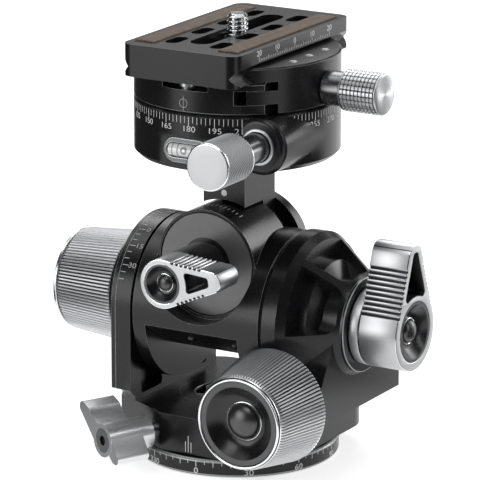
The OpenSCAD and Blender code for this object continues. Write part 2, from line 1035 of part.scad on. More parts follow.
module front_knob() {
    color(satin)
        at_tilt_worm()
            difference() {
                union() {
                    translate([0, -front_knob_back, 0])
                        rotate([90, 0, 0])
                            ribbed_knob(knob_len, knob_back_r, knob_front_r, knob_ribs, knob_dish_r);
                    bar_y(-front_knob_back, -arm_half - gap, knob_collar_r);
                }
                bar_y(-front_knob_face + knob_dish_depth, -arm_half, worm_shaft_r);
            }
}

module front_knob_cap() {
    color(black)
        at_tilt_worm()
            translate([0, -front_knob_face, 0])
                rotate([90, 0, 0])
                    dish_cap(knob_dish_r, knob_dish_depth);
}

module tilt_worm() {
    color(steel)
        at_tilt_worm()
            rotate([-90, 0, 0])
                rotate([0, 0, -90])
                    worm(-front_knob_face + knob_dish_depth, arm_half - bush_roof - gap);
}

// Lever's side view with a triangular hole between the hub and the tip
module lever_outline(hub, tip, length) {
    d = length - tip;
    a = asin((hub - tip) / d);
    wall = tip * 0.6;
    low = hub + wall / 2;
    half = function (y) (hub - y * sin(a)) / cos(a) - wall;
    difference() {
        pear(hub, tip, d);
        polygon([
            [-half(low), low],
            [half(low), low],
            [half(d), d],
            [-half(d), d],
        ]);
    }
}

// Grip grooves along the lever's slope, cut across its whole width w, which runs along Z
module lever_grip(hub, tip, length, w, count) {
    d = length - tip;
    a = asin((hub - tip) / d);
    for (s = [-1, 1])
        rotate([0, 0, s * a])
            for (i = [0 : count - 1])
                translate([s * hub, d * cos(a) - i * lever_groove_step, -over])
                    cylinder(h = w + 2 * over, r = lever_groove_r, $fn = 16);
}

module tilt_lever() {
    blade = tilt_lever_w - tilt_lever_back;
    color(satin)
        at_tilt()
            difference() {
                union() {
                    bar_x(tilt_lever_x0, tilt_lever_x1, tilt_hub_r);
                    slab_x(tilt_lever_x0 + tilt_lever_back, tilt_lever_x1)
                        lever_outline(tilt_hub_r, tilt_lever_tip_r, tilt_lever_len);
                }
                translate([tilt_lever_x0 + tilt_lever_back, 0, 0])
                    rotate([90, 0, 90])
                        lever_grip(tilt_hub_r, tilt_lever_tip_r, tilt_lever_len, blade, tilt_grooves);
                bar_x(tilt_lever_x0 - over, tilt_lever_x1 - dish_depth, lever_stud_r);
                bar_x(tilt_lever_x1 - dish_depth, tilt_lever_x1 + over, tilt_dish_r);
            }
}

module tilt_lever_cap() {
    color(black)
        at_tilt()
            translate([tilt_lever_x1, 0, 0])
                rotate([0, 90, 0])
                    dish_cap(tilt_dish_r, dish_depth);
}

module tilt_lock_stud() {
    color(steel)
        at_tilt()
            bar_x(tilt_shaft_out + gap, tilt_lever_x1 - dish_depth, lever_stud_r);
}

// Small screws on the drum's sloping underside
module drum_screw_places() {
    slope = atan2(drum_front_z - drum_flat_z, drum_r - drum_flat_y);
    for (x = drum_screw_xs)
        translate([x, -(drum_r + drum_flat_y) / 2, (drum_front_z + drum_flat_z) / 2])
            rotate([180 - slope, 0, 0])
                children();
}

module drum() {
    worm_half = worm_lead * thread_turns / 2 + gear_module + gap;
    color(black)
        difference() {
            union() {
                at_tilt() {
                    turned_x([
                        [-drum_half - trunnion_len, trunnion_r],
                        [-drum_half, trunnion_r],
                        [-drum_half, drum_r - bevel],
                        [-drum_half + bevel, drum_r],
                        [drum_half - bevel, drum_r],
                        [drum_half, drum_r - bevel],
                        [drum_half, trunnion_r],
                        [case_x0 - gap, trunnion_r],
                    ]);
                }
                at_roll() {
                    bar_y(-barrel_front, slot_front, barrel_r);
                    bar_y(slot_back, barrel_rear - barrel_step, barrel_r);
                    bar_y(slot_back, barrel_rear, rear_cap_r);
                }
            }
            slab_x(-drum_half + left_flange_t, drum_half - right_flange_t)
                polygon([
                    [-drum_r - over, drum_front_z],
                    [-drum_r, drum_front_z],
                    [-drum_flat_y, drum_flat_z],
                    [drum_r + over, drum_flat_z],
                    [drum_r + over, tilt_z - drum_r - over],
                    [-drum_r - over, tilt_z - drum_r - over],
                ]);
            at_tilt() {
                bar_x(-worm_half, worm_half, worm_room_r);
                bar_x(-drum_half - trunnion_len - over, tilt_shaft_in - shaft_wall, worm_shaft_r + run);
                bar_x(tilt_shaft_in, case_x0, tilt_shaft_r);
            }
            at_roll() {
                bar_y(-drum_r - over, -barrel_front, barrel_r + gap);
                bar_y(-barrel_front - over, -barrel_front + ring_seat, front_ring_r + gap);
                bar_y(barrel_rear, drum_r + over, rear_cap_r + gap);
                bar_y(-barrel_front, -barrel_front + ring_seat + roll_bush_len, roll_bush_r);
                bar_y(barrel_rear - roll_bush_len, barrel_rear + over, roll_bush_r);
                bar_y(-barrel_front, barrel_rear, roll_shaft_r + run);
                bar_y(-wheel_t / 2 - gap, slot_front + over, roll_room_r);
                bar_y(slot_front, slot_back, slot_r);
            }
            drum_screw_places()
                translate([0, 0, -drum_screw_len])
                    cylinder(h = drum_screw_len + over, r = drum_screw_r / 2);
        }
}

module drum_screws() {
    color(steel)
        drum_screw_places()
            difference() {
                turned_z([
                    [-drum_screw_len, drum_screw_r / 2],
                    [0, drum_screw_r / 2],
                    [0, drum_screw_r],
                    [drum_screw_h, drum_screw_r * 0.8],
                ]);
                translate([0, 0, drum_screw_h / 2])
                    cylinder(h = over, r = drum_screw_r / 2, $fn = 6);
            }
}

module tilt_shaft() {
    color(steel)
        at_tilt()
            bar_x(tilt_shaft_in, tilt_shaft_out, tilt_shaft_r);
}

module tilt_wheel() {
    color(brass)
        at_tilt()
            difference() {
                slab_x(tilt_worm_x - wheel_t / 2, tilt_worm_x + wheel_t / 2)
                    wheel_outline(tilt_teeth, tilt_wheel_r);
                bar_x(case_x0, case_x1, tilt_shaft_r);
            }
}

module roll_bushes() {
    color(brass)
        at_roll()
            for (y = [-barrel_front + ring_seat, barrel_rear - roll_bush_len])
                difference() {
                    bar_y(y, y + roll_bush_len, roll_bush_r);
                    bar_y(y - over, y + roll_bush_len + over, roll_shaft_r + run);
                }
}

module front_ring() {
    color(dark)
        at_roll()
            difference() {
                union() {
                    bar_y(-barrel_front, -barrel_front + ring_seat, front_ring_r);
                    bar_y(-boss_front, -barrel_front, boss_r);
                }
                bar_y(-boss_front - over, -barrel_front + ring_seat + over, lever_stud_r + run);
            }
}

module rear_cap() {
    color(dark)
        at_roll()
            translate([0, barrel_rear, 0])
                rotate([-90, 0, 0])
                    turned_z([
                        [0, rear_cap_r],
                        [rear_cap_t - bevel, rear_cap_r],
                        [rear_cap_t, rear_cap_r - bevel],
                    ]);
}

module left_knob() {
    color(satin)
        at_tilt()
            difference() {
                translate([-left_knob_x0, 0, 0])
                    rotate([0, -90, 0])
                        ribbed_knob(left_knob_len, left_knob_in_r, left_knob_out_r, knob_ribs, left_dish_r);
                bar_x(-left_knob_x1 + knob_dish_depth, -left_knob_x0 + over, worm_shaft_r);
            }
}

module left_knob_cap() {
    color(black)
        at_tilt()
            translate([-left_knob_x1, 0, 0])
                rotate([0, -90, 0])
                    dish_cap(left_dish_r, knob_dish_depth);
}

module roll_worm() {
    color(steel)
        at_tilt()
            rotate([0, 90, 0])
                rotate([0, 0, 180])
                    worm(-left_knob_x1 + knob_dish_depth, tilt_shaft_in - shaft_wall - gap);
}

module roll_lever() {
    face = boss_front + gap / 2 + roll_lever_w;
    color(satin)
        at_roll()
            difference() {
                slab_y(-face, -face + roll_lever_w)
                    rotate(roll_lever_angle - 90)
                        lever_outline(roll_hub_r, roll_lever_tip_r, roll_lever_len);
                translate([0, -face + roll_lever_w, 0])
                    rotate([90, 0, 0])
                        rotate([0, 0, roll_lever_angle - 90])
                            lever_grip(
                                roll_hub_r, roll_lever_tip_r, roll_lever_len, roll_lever_w, roll_grooves
                            );
                bar_y(-face + dish_depth, -boss_front + over, lever_stud_r);
                bar_y(-face - over, -face + dish_depth, roll_dish_r);
            }
}

module roll_lever_cap() {
    color(black)
        at_roll()
            translate([0, -boss_front - gap / 2 - roll_lever_w, 0])
                rotate([90, 0, 0])
                    dish_cap(roll_dish_r, dish_depth);
}

module roll_lock_stud() {
    color(steel)
        at_roll()
            bar_y(-boss_front - roll_lever_w + dish_depth - gap / 2, -barrel_front + ring_seat, lever_stud_r);
}

module post_screw_places() {
    for (x = [-post_screw_x, post_screw_x], y = [-post_front / 2, post_back / 2])
        translate([x, y, axle_z - axle_clear - gap])
            children();
}

module post_screw(extra) {
    turned_z([
        [-post_screw_len, post_screw_r],
        [post_screw_r - post_screw_head_r, post_screw_r],
        [0, post_screw_head_r],
        [extra, post_screw_head_r],
    ]);
}

module post() {
    color(black)
        difference() {
            union() {
                difference() {
                    translate([-post_half, -post_front, roll_z])
                        cube([2 * post_half, post_front + post_back, post_top - roll_z]);
                    at_roll()
                        bar_y(-post_front - over, web_front, post_arc_r);
                }
                at_roll()
                    bar_y(hub_front, post_back, hub_r);
            }
            at_roll()
                bar_y(web_front - over, post_back + over, roll_shaft_r);
            post_screw_places()
                post_screw(over);
        }
}

module roll_shaft() {
    color(steel)
        at_roll()
            bar_y(-barrel_front + ring_seat + gap, barrel_rear - gap, roll_shaft_r);
}

module roll_wheel() {
    color(brass)
        at_roll()
            difference() {
                slab_y(-wheel_t / 2, wheel_t / 2)
                    wheel_outline(roll_teeth, roll_wheel_r);
                bar_y(-wheel_t, wheel_t, roll_shaft_r);
            }
}

module pan_disc() {
    color(black)
        difference() {
            union() {
                translate([0, 0, disc_z])
                    turned_z([
                        [0, disc_r - disc_round],
                        [disc_round, disc_r],
                        [disc_h - bevel, disc_r],
                        [disc_h, disc_r - bevel],
                    ]);
                translate([lug_x, 0, lug_z])
                    rotate([90, 0, 0])
                        rotate_extrude() {
                            square([lug_r, lug_front - lug_round]);
                            square([lug_r - lug_round, lug_front]);
                            translate([lug_r - lug_round, lug_front - lug_round])
                                circle(lug_round);
                        }
            }
            translate([lug_x - lug_r - over, -lug_front - over, axle_top])
                cube([2 * (lug_r + over), lug_front + over, lug_r]);
            translate([0, 0, axle_z - axle_clear - gap])
                cylinder(h = disc_h + over, r = axle_r + run);
            translate([lug_x, 0, lug_z])
                bar_y(-lug_front - over, cotter_back + gap, lug_bore_r);
            translate([-disc_r / 2, -disc_r - over, disc_z - over])
                cube([disc_r, disc_r + over - level_flat, facet_h + over]);
            translate([0, 0, vial_z])
                slab_y(-disc_r - over, -level_flat + vial_depth)
                    rotate(90)
                        stadium(vial_h, vial_w);
            post_screw_places()
                post_screw(over);
        }
}

module post_screws() {
    color(steel)
        post_screw_places()
            difference() {
                post_screw(0);
                translate([0, 0, -post_screw_r])
                    cylinder(h = post_screw_r + over, r = post_screw_r * 0.8, $fn = 6);
            }
}

module vial_frame() {
    color(satin)
        translate([0, 0, vial_z])
            difference() {
                slab_y(-level_flat, -level_flat + vial_depth)
                    rotate(90)
                        stadium(vial_h, vial_w);
                slab_y(-disc_r, -level_flat + vial_depth - vial_wall)
                    rotate(90)
                        stadium(2 * vial_glass_r, vial_w - 2 * vial_wall);
            }
}

module disc_vial() {
    color(glass)
        translate([0, -level_flat + vial_depth - vial_wall, vial_z])
            intersection() {
                bar_x(-vial_w / 2 + vial_wall, vial_w / 2 - vial_wall, vial_glass_r);
                slab_y(-vial_glass_r, 0)
                    rotate(90)
                        stadium(2 * vial_glass_r, vial_w - 2 * vial_wall);
            }
}

module lock_cotter() {
    color(brass)
        translate([lug_x, 0, lug_z])
            bar_y(-cotter_front, cotter_back, cotter_r);
}

module disc_lock_knob() {
    color(satin)
        translate([lug_x, 0, lug_z])
            difference() {
                translate([0, -disc_knob_face, 0])
                    rotate([-90, 0, 0])
                        turned_z([
                            [0, disc_knob_r - bevel],
                            [bevel, disc_knob_r],
                            [disc_knob_len - bevel, disc_knob_r],
                            [disc_knob_len, disc_knob_r - bevel],
                        ]);
                bar_y(disc_knob_len / 2 - disc_knob_face, disc_knob_back + over, lock_screw_r);
            }
}

module disc_lock_screw() {
    color(steel)
        translate([lug_x, 0, lug_z])
            rotate([90, 0, 0])
                turned_z([
                    [cotter_front + gap, lock_screw_r],
                    [lug_front - lug_shaft_in, lock_screw_r],
                    [lug_front - lug_shaft_in, cotter_r],
                    [disc_knob_face - disc_knob_len, cotter_r],
                    [disc_knob_face - disc_knob_len, lock_screw_r],
                    [disc_knob_face - disc_knob_len / 2, lock_screw_r],
                ]);
}

// Outline of a jaw's upper part on the +X side: its lip fits the plate's groove
module jaw_outline() {
    root = plate_w / 2 + lip_clear;
    tip = root - groove_d;
    low = bevel;
    mid = low + groove_d;
    polygon([
        [root, 0],
        [root, low],
        [tip, mid],
        [tip + jaw_h - mid, jaw_h],
        [disc_r + over, jaw_h],
        [disc_r + over, 0],
    ]);
}

module clamp_disc(z0, z1) {
    translate([0, 0, z0])
        turned_z([
            [0, disc_r - bevel],
            [bevel, disc_r],
            [z1 - z0 - bevel, disc_r],
            [z1 - z0, disc_r - bevel],
        ]);
}

module clamp_body() {
    color(black)
        difference() {
            union() {
                clamp_disc(clamp_z, clamp_floor);
                intersection() {
                    clamp_disc(clamp_z, clamp_top);
                    translate([0, 0, clamp_floor])
                        mirror([1, 0, 0])
                            slab_y(-disc_r, disc_r)
                                jaw_outline();
                }
            }
            translate([jaw_body_x, -disc_r - over, clamp_z - over])
                cube([disc_r, 2 * (disc_r + over), clamp_h + 2 * over]);
            translate([tongue_room_x, -disc_r - over, tongue_z0 - gap / 2])
                cube([disc_r, 2 * (disc_r + over), tongue_z1 - tongue_z0 + gap]);
            translate([-notch_w / 2, -disc_r - over, clamp_floor - notch_h])
                cube([notch_w, notch_d + over, notch_h + over]);
            translate([0, -pin_y, clamp_floor - pin_h - pin_travel - gap])
                cylinder(h = clamp_h, r = pin_r + run);
            translate([0, 0, clamp_knob_z])
                bar_x(clamp_screw_in - gap, tongue_x, clamp_screw_r + run);
            for (y = [-guide_y, guide_y])
                translate([0, y, clamp_knob_z])
                    bar_x(guide_in, tongue_x, guide_r);
            translate([0, 0, clamp_z - over])
                cylinder(h = axle_stub_h + over, r = axle_stub_r);
        }
}

module clamp_axle() {
    color(steel)
        difference() {
            union() {
                turned_z([[axle_z, axle_r - bevel], [axle_z + bevel, axle_r], [clamp_z, axle_r]]);
                translate([0, 0, clamp_z])
                    cylinder(h = axle_stub_h, r = axle_stub_r);
            }
            translate([0, 0, lug_z])
                rotate_extrude()
                    translate([lug_x, 0])
                        circle(axle_groove_r);
        }
}

module stop_pin() {
    color(steel)
        translate([0, -pin_y, clamp_floor - pin_h])
            turned_z([[0, pin_r], [pin_h - gap - bevel, pin_r], [pin_h - gap, pin_r - bevel]]);
}

module clamp_guides() {
    color(steel)
        for (y = [-guide_y, guide_y])
            translate([0, y, clamp_knob_z])
                bar_x(guide_in, guide_out, guide_r);
}

module movable_jaw() {
    color(black)
        difference() {
            intersection() {
                clamp_disc(clamp_z, clamp_top);
                union() {
                    translate([jaw_x, -disc_r, clamp_z])
                        cube([disc_r, 2 * disc_r, clamp_h + jaw_h]);
                    translate([tongue_x, -disc_r, tongue_z0])
                        cube([disc_r, 2 * disc_r, tongue_z1 - tongue_z0]);
                    difference() {
                        translate([0, 0, clamp_floor])
                            slab_y(-disc_r, disc_r)
                                jaw_outline();
                        translate([0, -disc_r - over, clamp_floor - over])
                            cube([jaw_x, 2 * (disc_r + over), gap + over]);
                    }
                }
            }
            translate([0, 0, clamp_knob_z])
                bar_x(tongue_x - over, disc_r + over, clamp_screw_r + run);
            for (y = [-guide_y, guide_y])
                translate([0, y, clamp_knob_z])
                    bar_x(tongue_x - over, guide_out + gap, guide_r + run);
            jaw_screw_places()
                translate([0, 0, -jaw_screw_h])
                    cylinder(h = jaw_screw_h + over, r = jaw_screw_r);
        }
}

module jaw_screw_places() {
    for (i = [-1 : 1])
        translate([jaw_screw_x, i * jaw_screw_step, clamp_top])
            children();
}

module jaw_screws() {
    color(steel)
        jaw_screw_places()
            difference() {
                translate([0, 0, -jaw_screw_h])
                    cylinder(h = jaw_screw_h, r = jaw_screw_r);
                translate([0, 0, -jaw_screw_r])
                    cylinder(h = jaw_screw_r + over, r = jaw_screw_r / 2, $fn = 6);
            }
}

module clamp_knob() {
    color(satin)
        translate([clamp_collar_x, 0, clamp_knob_z])
            difference() {
                rotate([0, 90, 0])
                    turned_z([
                        [0, clamp_knob_r - bevel],
                        [bevel, clamp_knob_r],
                        [clamp_knob_x - clamp_collar_x - bevel, clamp_knob_r],
                        [clamp_knob_x - clamp_collar_x, clamp_knob_r - bevel],
                    ]);
                bar_x(-over, (clamp_knob_x - clamp_collar_x) / 2, clamp_screw_r);
            }
}

module clamp_collar() {
    color(dark)
        translate([0, 0, clamp_knob_z])
            difference() {
                bar_x(disc_r + gap / 2, clamp_collar_x, clamp_collar_r);
                bar_x(disc_r, clamp_collar_x + over, clamp_screw_r);
            }
}

module clamp_screw() {
    color(steel)
        translate([0, 0, clamp_knob_z])
            bar_x(clamp_screw_in, (clamp_knob_x + clamp_collar_x) / 2, clamp_screw_r);
}

// Cross-section of the plate, seen along its length
module plate_section() {
    low = bevel;
    mid = low + groove_d;
    high = plate_t - slab_t;
    half = [
        [plate_w / 2 - low, 0],
        [plate_w / 2, low],
        [plate_w / 2 - groove_d, mid],
        [plate_w / 2, high],
        [plate_w / 2, plate_t],
    ];
    polygon(concat(half, [for (i = [len(half) - 1 : -1 : 0]) [-half[i][0], half[i][1]]]));
}

module plate() {
    color(dark)
        difference() {
            intersection() {
                translate([0, 0, plate_z])
                    slab_y(-plate_l / 2, plate_l / 2)
                        plate_section();
                translate([0, 0, plate_z])
                    linear_extrude(plate_t)
                        rounded(-plate_w / 2, plate_w / 2, -plate_l / 2, plate_l / 2, plate_corner_r);
            }
            translate([0, 0, plate_z - over])
                linear_extrude(plate_t + 2 * over)
                    stadium(slot_w, slot_l);
            translate([0, 0, plate_z - over])
                linear_extrude(head_room_h + over)
                    stadium(head_room_w, slot_l + head_room_w - slot_w);
            for (x = [-small_slot_x, small_slot_x], i = [0 : small_slot_count - 1])
                translate([x, (i - (small_slot_count - 1) / 2) * small_slot_step, plate_z - over])
                    linear_extrude(plate_t + 2 * over)
                        stadium(small_slot_w, small_slot_l);
            strip_places()
                translate([0, 0, -strip_sink])
                    linear_extrude(strip_sink + over)
                        square([strip_x1 - strip_x0, strip_l], center = true);
        }
}

module strip_places() {
    for (s = [-1, 1])
        translate([s * (strip_x0 + strip_x1) / 2, 0, plate_z + plate_t])
            children();
}

module rubber_strips() {
    color(rubber)
        strip_places()
            translate([0, 0, -strip_sink])
                linear_extrude(strip_sink + strip_t)
                    square([strip_x1 - strip_x0, strip_l], center = true);
}

module camera_washer() {
    color(steel)
        translate([0, 0, plate_z + head_room_h - washer_t - run])
            difference() {
                cylinder(h = washer_t, r = washer_r);
                translate([0, 0, -over])
                    cylinder(h = washer_t + 2 * over, r = camera_r + run);
            }
}

module camera_screw() {
    z = plate_z + head_room_h - washer_t - 2 * run;
    thread = plate_z + plate_t + camera_thread_rise - z;
    top = plate_z + plate_t + camera_h - z;
    color(steel)
        translate([0, 0, z])
            difference() {
                turned_z([
                    [-camera_head_h, camera_head_r],
                    [0, camera_head_r],
                    [0, camera_r - camera_neck],
                    [thread, camera_r - camera_neck],
                    [thread, camera_r],
                    [top - bevel, camera_r],
                    [top, camera_r - bevel],
                ]);
                translate([0, 0, -camera_head_h - over])
                    cylinder(h = over + camera_head_h / 2, r = camera_r * 0.7, $fn = 6);
            }
}

base_disc();
tripod_bush();
pan_spindle();
spindle_screws();
yoke_frame();
left_cover();
cover_screws();
gear_housing();
tilt_bushes();
worm_bushes();
pan_lock_shoe();
level_cup();
level_vial();
lever_collar();
left_collar();
pan_lock_wing();
pan_lock_stud();
pan_lock_cap();
front_knob();
front_knob_cap();
tilt_worm();
tilt_lever();
tilt_lever_cap();
tilt_lock_stud();
drum();
tilt_shaft();
tilt_wheel();
drum_screws();
roll_bushes();
front_ring();
rear_cap();
left_knob();
left_knob_cap();
roll_worm();
roll_lever();
roll_lever_cap();
roll_lock_stud();
post();
roll_shaft();
roll_wheel();
pan_disc();
post_screws();
vial_frame();
disc_vial();
lock_cotter();
disc_lock_knob();
disc_lock_screw();
clamp_body();
clamp_axle();
stop_pin();
clamp_guides();
movable_jaw();
jaw_screws();
clamp_knob();
clamp_collar();
clamp_screw();
plate();
rubber_strips();
camera_washer();
camera_screw();
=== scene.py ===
# Geared two-axis camera head: the looks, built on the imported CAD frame.
# Lengths are millimetres, as in part.scad, and finish_mesh() turns them into metres. Names that end in _M or _m
# and the sizes of the lamps are metres.
import json
import math

import bmesh
import bpy
from mathutils import Matrix, Vector

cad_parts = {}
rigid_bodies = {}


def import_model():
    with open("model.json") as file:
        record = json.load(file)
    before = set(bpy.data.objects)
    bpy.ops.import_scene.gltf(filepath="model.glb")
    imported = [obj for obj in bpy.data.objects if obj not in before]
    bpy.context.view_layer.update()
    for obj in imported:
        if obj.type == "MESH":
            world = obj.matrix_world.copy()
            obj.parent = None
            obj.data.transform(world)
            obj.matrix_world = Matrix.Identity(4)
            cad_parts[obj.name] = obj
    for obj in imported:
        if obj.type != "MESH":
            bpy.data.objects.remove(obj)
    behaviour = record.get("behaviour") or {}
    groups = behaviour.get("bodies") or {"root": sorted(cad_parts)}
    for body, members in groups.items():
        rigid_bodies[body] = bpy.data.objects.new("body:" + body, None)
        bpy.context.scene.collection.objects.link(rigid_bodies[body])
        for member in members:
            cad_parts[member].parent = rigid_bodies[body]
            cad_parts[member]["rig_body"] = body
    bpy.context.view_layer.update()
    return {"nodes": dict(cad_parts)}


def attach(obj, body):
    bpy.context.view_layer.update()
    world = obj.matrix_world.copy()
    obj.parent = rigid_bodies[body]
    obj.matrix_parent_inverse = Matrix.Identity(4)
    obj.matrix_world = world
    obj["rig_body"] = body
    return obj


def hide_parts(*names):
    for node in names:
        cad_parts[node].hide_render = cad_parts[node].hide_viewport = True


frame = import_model()
NODES = frame["nodes"]
MM = 0.001
TURN = 2 * math.pi
SCENE = bpy.context.scene
SCENE.view_settings.view_transform = "Standard"

# directions and main places of the object
UP, RIGHT, LEFT, FORWARD, BACKWARD = (0, 0, 1), (1, 0, 0), (-1, 0, 0), (0, -1, 0), (0, 1, 0)
TILT_Z = 44
ROLL_Z = 60
WORM_X, WORM_Z = 29, 25
LUG_X, LUG_Z = 21.5, 99.1
VIAL_Z = 95.9
CLAMP_KNOB_Z = 112.4
DIAL_R = 30.0


def from_angles(az, el, distance):
    """Vector of that length at an azimuth from the front and an elevation, in degrees."""
    a, e = math.radians(az), math.radians(el)
    return distance * Vector((math.sin(a) * math.cos(e), -math.cos(a) * math.cos(e), math.sin(e)))


# ---------------------------------------------------------------- camera
CAMERA_AZ, CAMERA_EL, CAMERA_DISTANCE_M = 30.67, 15.30, 1.1162
CAMERA_TARGET_M = Vector((0.00083, 0.0, 0.06396))
cam_data = bpy.data.cameras.new("camera")
cam_data.sensor_width = 36.0
cam_data.lens = 286.86
cam_data.shift_y = -0.0053
cam_data.clip_end = 20.0
cam = bpy.data.objects.new("camera", cam_data)
SCENE.collection.objects.link(cam)
cam.location = CAMERA_TARGET_M + from_angles(CAMERA_AZ, CAMERA_EL, CAMERA_DISTANCE_M)
cam.rotation_euler = (CAMERA_TARGET_M - cam.location).to_track_quat("-Z", "Y").to_euler()
SCENE.camera = cam


# ---------------------------------------------------------------- materials
COAT_ROUGHNESS = 0.12
BUMP_M = 0.00005
NOISE_RANGE = (0.3, 0.7)


def material(name, base, metallic=0.0, rough=0.4, vary=0.12, bump=0.0, bump_scale=3000.0, rough_vary=0.05,
             vary_scale=60.0, coat=0.0, specular=0.5, aniso=0.0):
    """A metal, paint or plastic with colour drift, uneven roughness and a fine blasted or brushed bump."""
    m = bpy.data.materials.new(name)
    m.use_nodes = True
    nt = m.node_tree
    b = nt.nodes["Principled BSDF"]
    b.inputs["Metallic"].default_value = metallic
    b.inputs["Coat Weight"].default_value = coat
    b.inputs["Coat Roughness"].default_value = COAT_ROUGHNESS
    b.inputs["Specular IOR Level"].default_value = specular
    b.inputs["Anisotropic"].default_value = aniso
    tc = nt.nodes.new("ShaderNodeTexCoord")
    drift = nt.nodes.new("ShaderNodeTexNoise")
    drift.inputs["Scale"].default_value = vary_scale
    drift.inputs["Detail"].default_value = 4.0
    nt.links.new(tc.outputs["Object"], drift.inputs["Vector"])
    ramp = nt.nodes.new("ShaderNodeValToRGB")
    for end, place, share in zip(ramp.color_ramp.elements, NOISE_RANGE, (1 - vary, 1 + vary)):
        end.position = place
        end.color = (*(min(1.0, max(0.0, c * share)) for c in base), 1)
    nt.links.new(drift.outputs["Fac"], ramp.inputs["Fac"])
    nt.links.new(ramp.outputs["Color"], b.inputs["Base Color"])
    grain = nt.nodes.new("ShaderNodeTexNoise")
    grain.inputs["Scale"].default_value = bump_scale
    grain.inputs["Detail"].default_value = 3.0
    nt.links.new(tc.outputs["Object"], grain.inputs["Vector"])
    spread = nt.nodes.new("ShaderNodeMapRange")
    spread.inputs["From Min"].default_value, spread.inputs["From Max"].default_value = NOISE_RANGE
    spread.inputs["To Min"].default_value = max(0.02, rough - rough_vary)
    spread.inputs["To Max"].default_value = min(1.0, rough + rough_vary)
    nt.links.new(grain.outputs["Fac"], spread.inputs["Value"])
    nt.links.new(spread.outputs["Result"], b.inputs["Roughness"])
    if bump > 0:
        add_bump(nt, grain.outputs["Fac"], bump, BUMP_M)
    return m


def add_bump(nt, height, strength, distance_m):
    """Gives a material's shader a bump from an output that is its height."""
    bp = nt.nodes.new("ShaderNodeBump")
    bp.inputs["Strength"].default_value = strength
    bp.inputs["Distance"].default_value = distance_m
    nt.links.new(height, bp.inputs["Height"])
    nt.links.new(bp.outputs["Normal"], nt.nodes["Principled BSDF"].inputs["Normal"])


BLACK = material("black_anodised", (0.008, 0.008, 0.009), rough=0.27, bump=0.08, bump_scale=6000, specular=0.38)
BLACK_FINE = material("black_smooth", (0.009, 0.009, 0.010), rough=0.22, bump=0.04, bump_scale=5000)
# painted highlight: a lighter grey on the broken edges of the black parts
EDGE_HIGHLIGHT = material("black_edge_highlight", (0.36, 0.365, 0.37), metallic=0.4, rough=0.32, bump=0.05)
GREY = material("washer_grey", (0.16, 0.16, 0.162), metallic=0.6, rough=0.32, bump=0.15, bump_scale=6000, aniso=0.5)
CAP_RING = material("cap_ring_grey", (0.10, 0.10, 0.103), metallic=0.4, rough=0.42, bump=0.12, bump_scale=6000)
CAP = material("cap_dish_black", (0.008, 0.008, 0.009), rough=0.27, bump=0.05, bump_scale=6000)
GLOSS = material("gloss_black", (0.012, 0.012, 0.013), rough=0.32, specular=1.0, bump=0.02)
SILVER = material("silver_satin", (0.56, 0.57, 0.58), metallic=1.0, rough=0.40, vary=0.03, bump=0.02,
                  bump_scale=7000, rough_vary=0.02)
SILVER_FACE = material("silver_face", (0.70, 0.71, 0.72), metallic=0.4, rough=0.48, vary=0.03, bump=0.06,
                       bump_scale=7000)
WING = material("wing_satin", (0.92, 0.93, 0.94), metallic=0.8, rough=0.26, vary=0.03, bump=0.02,
                bump_scale=7000, rough_vary=0.02)
# painted shade: a darker copy of the wing's metal for its end faces
WING_END_SHADE = material("wing_end_shade", (0.20, 0.205, 0.21), metallic=1.0, rough=0.36, vary=0.05, bump=0.04,
                    bump_scale=7000, rough_vary=0.02)
# painted shade: a dark copy of the metal for the bottoms of grooves, knurl hollows and thin lines in rims
GROOVE_SHADE = material("groove_shadow", (0.06, 0.06, 0.063), metallic=1.0, rough=0.45, vary=0.15, bump=0.1)
# painted highlight: a lighter, smoother copy of the silver for broken edges, beads, thin rings and the level's bubble
BRIGHT_HIGHLIGHT = material("bright_highlight", (0.84, 0.85, 0.86), metallic=1.0, rough=0.22, vary=0.03)
STEEL = material("steel", (0.70, 0.71, 0.72), metallic=1.0, rough=0.18, vary=0.05, bump=0.05)
DARK_STEEL = material("dark_steel", (0.16, 0.16, 0.165), metallic=0.9, rough=0.24, vary=0.1, bump=0.05)
BRONZE = material("bronze", (0.55, 0.38, 0.17), metallic=1.0, rough=0.3, vary=0.1, bump=0.1)
DOT = material("white_dot", (0.92, 0.92, 0.92), rough=0.5, vary=0.02)
WHITE = material("white_paint", (0.78, 0.78, 0.78), rough=0.55, vary=0.04)
DIM_WHITE = material("faded_paint", (0.42, 0.42, 0.42), rough=0.55, vary=0.06)
# painted highlight: light metal on the broken edges of the level's dark frame
VIAL_FRAME_HIGHLIGHT = material("vial_frame", (0.72, 0.73, 0.73), metallic=0.8, rough=0.22, vary=0.05)
VIAL_BODY = material("vial_body", (0.74, 0.76, 0.75), rough=0.12, vary=0.10, vary_scale=400.0, coat=0.6)
# print for the level's lines, and painted shade for the bubble's rim
VIAL_LINES_AND_BUBBLE_SHADE = material("vial_lines_and_bubble_shade", (0.25, 0.26, 0.26), rough=0.3, vary=0.1)


def rubber_material():
    """Brown rubber with a fine crossed weave."""
    m = material("rubber", (0.165, 0.130, 0.105), rough=0.72, vary=0.22, vary_scale=420.0, specular=0.3)
    nt = m.node_tree
    weave = nt.nodes.new("ShaderNodeMath")
    weave.operation = "ADD"
    for k, angle in enumerate((0.9, -0.9)):
        mp = nt.nodes.new("ShaderNodeMapping")
        mp.inputs["Rotation"].default_value = (0, 0, angle)
        wave = nt.nodes.new("ShaderNodeTexWave")
        wave.inputs["Scale"].default_value = 300.0
        wave.inputs["Distortion"].default_value = 0.3
        nt.links.new(nt.nodes["Texture Coordinate"].outputs["Object"], mp.inputs["Vector"])
        nt.links.new(mp.outputs["Vector"], wave.inputs["Vector"])
        nt.links.new(wave.outputs["Fac"], weave.inputs[k])
    add_bump(nt, weave.outputs["Value"], 0.9, 0.0002)
    return m


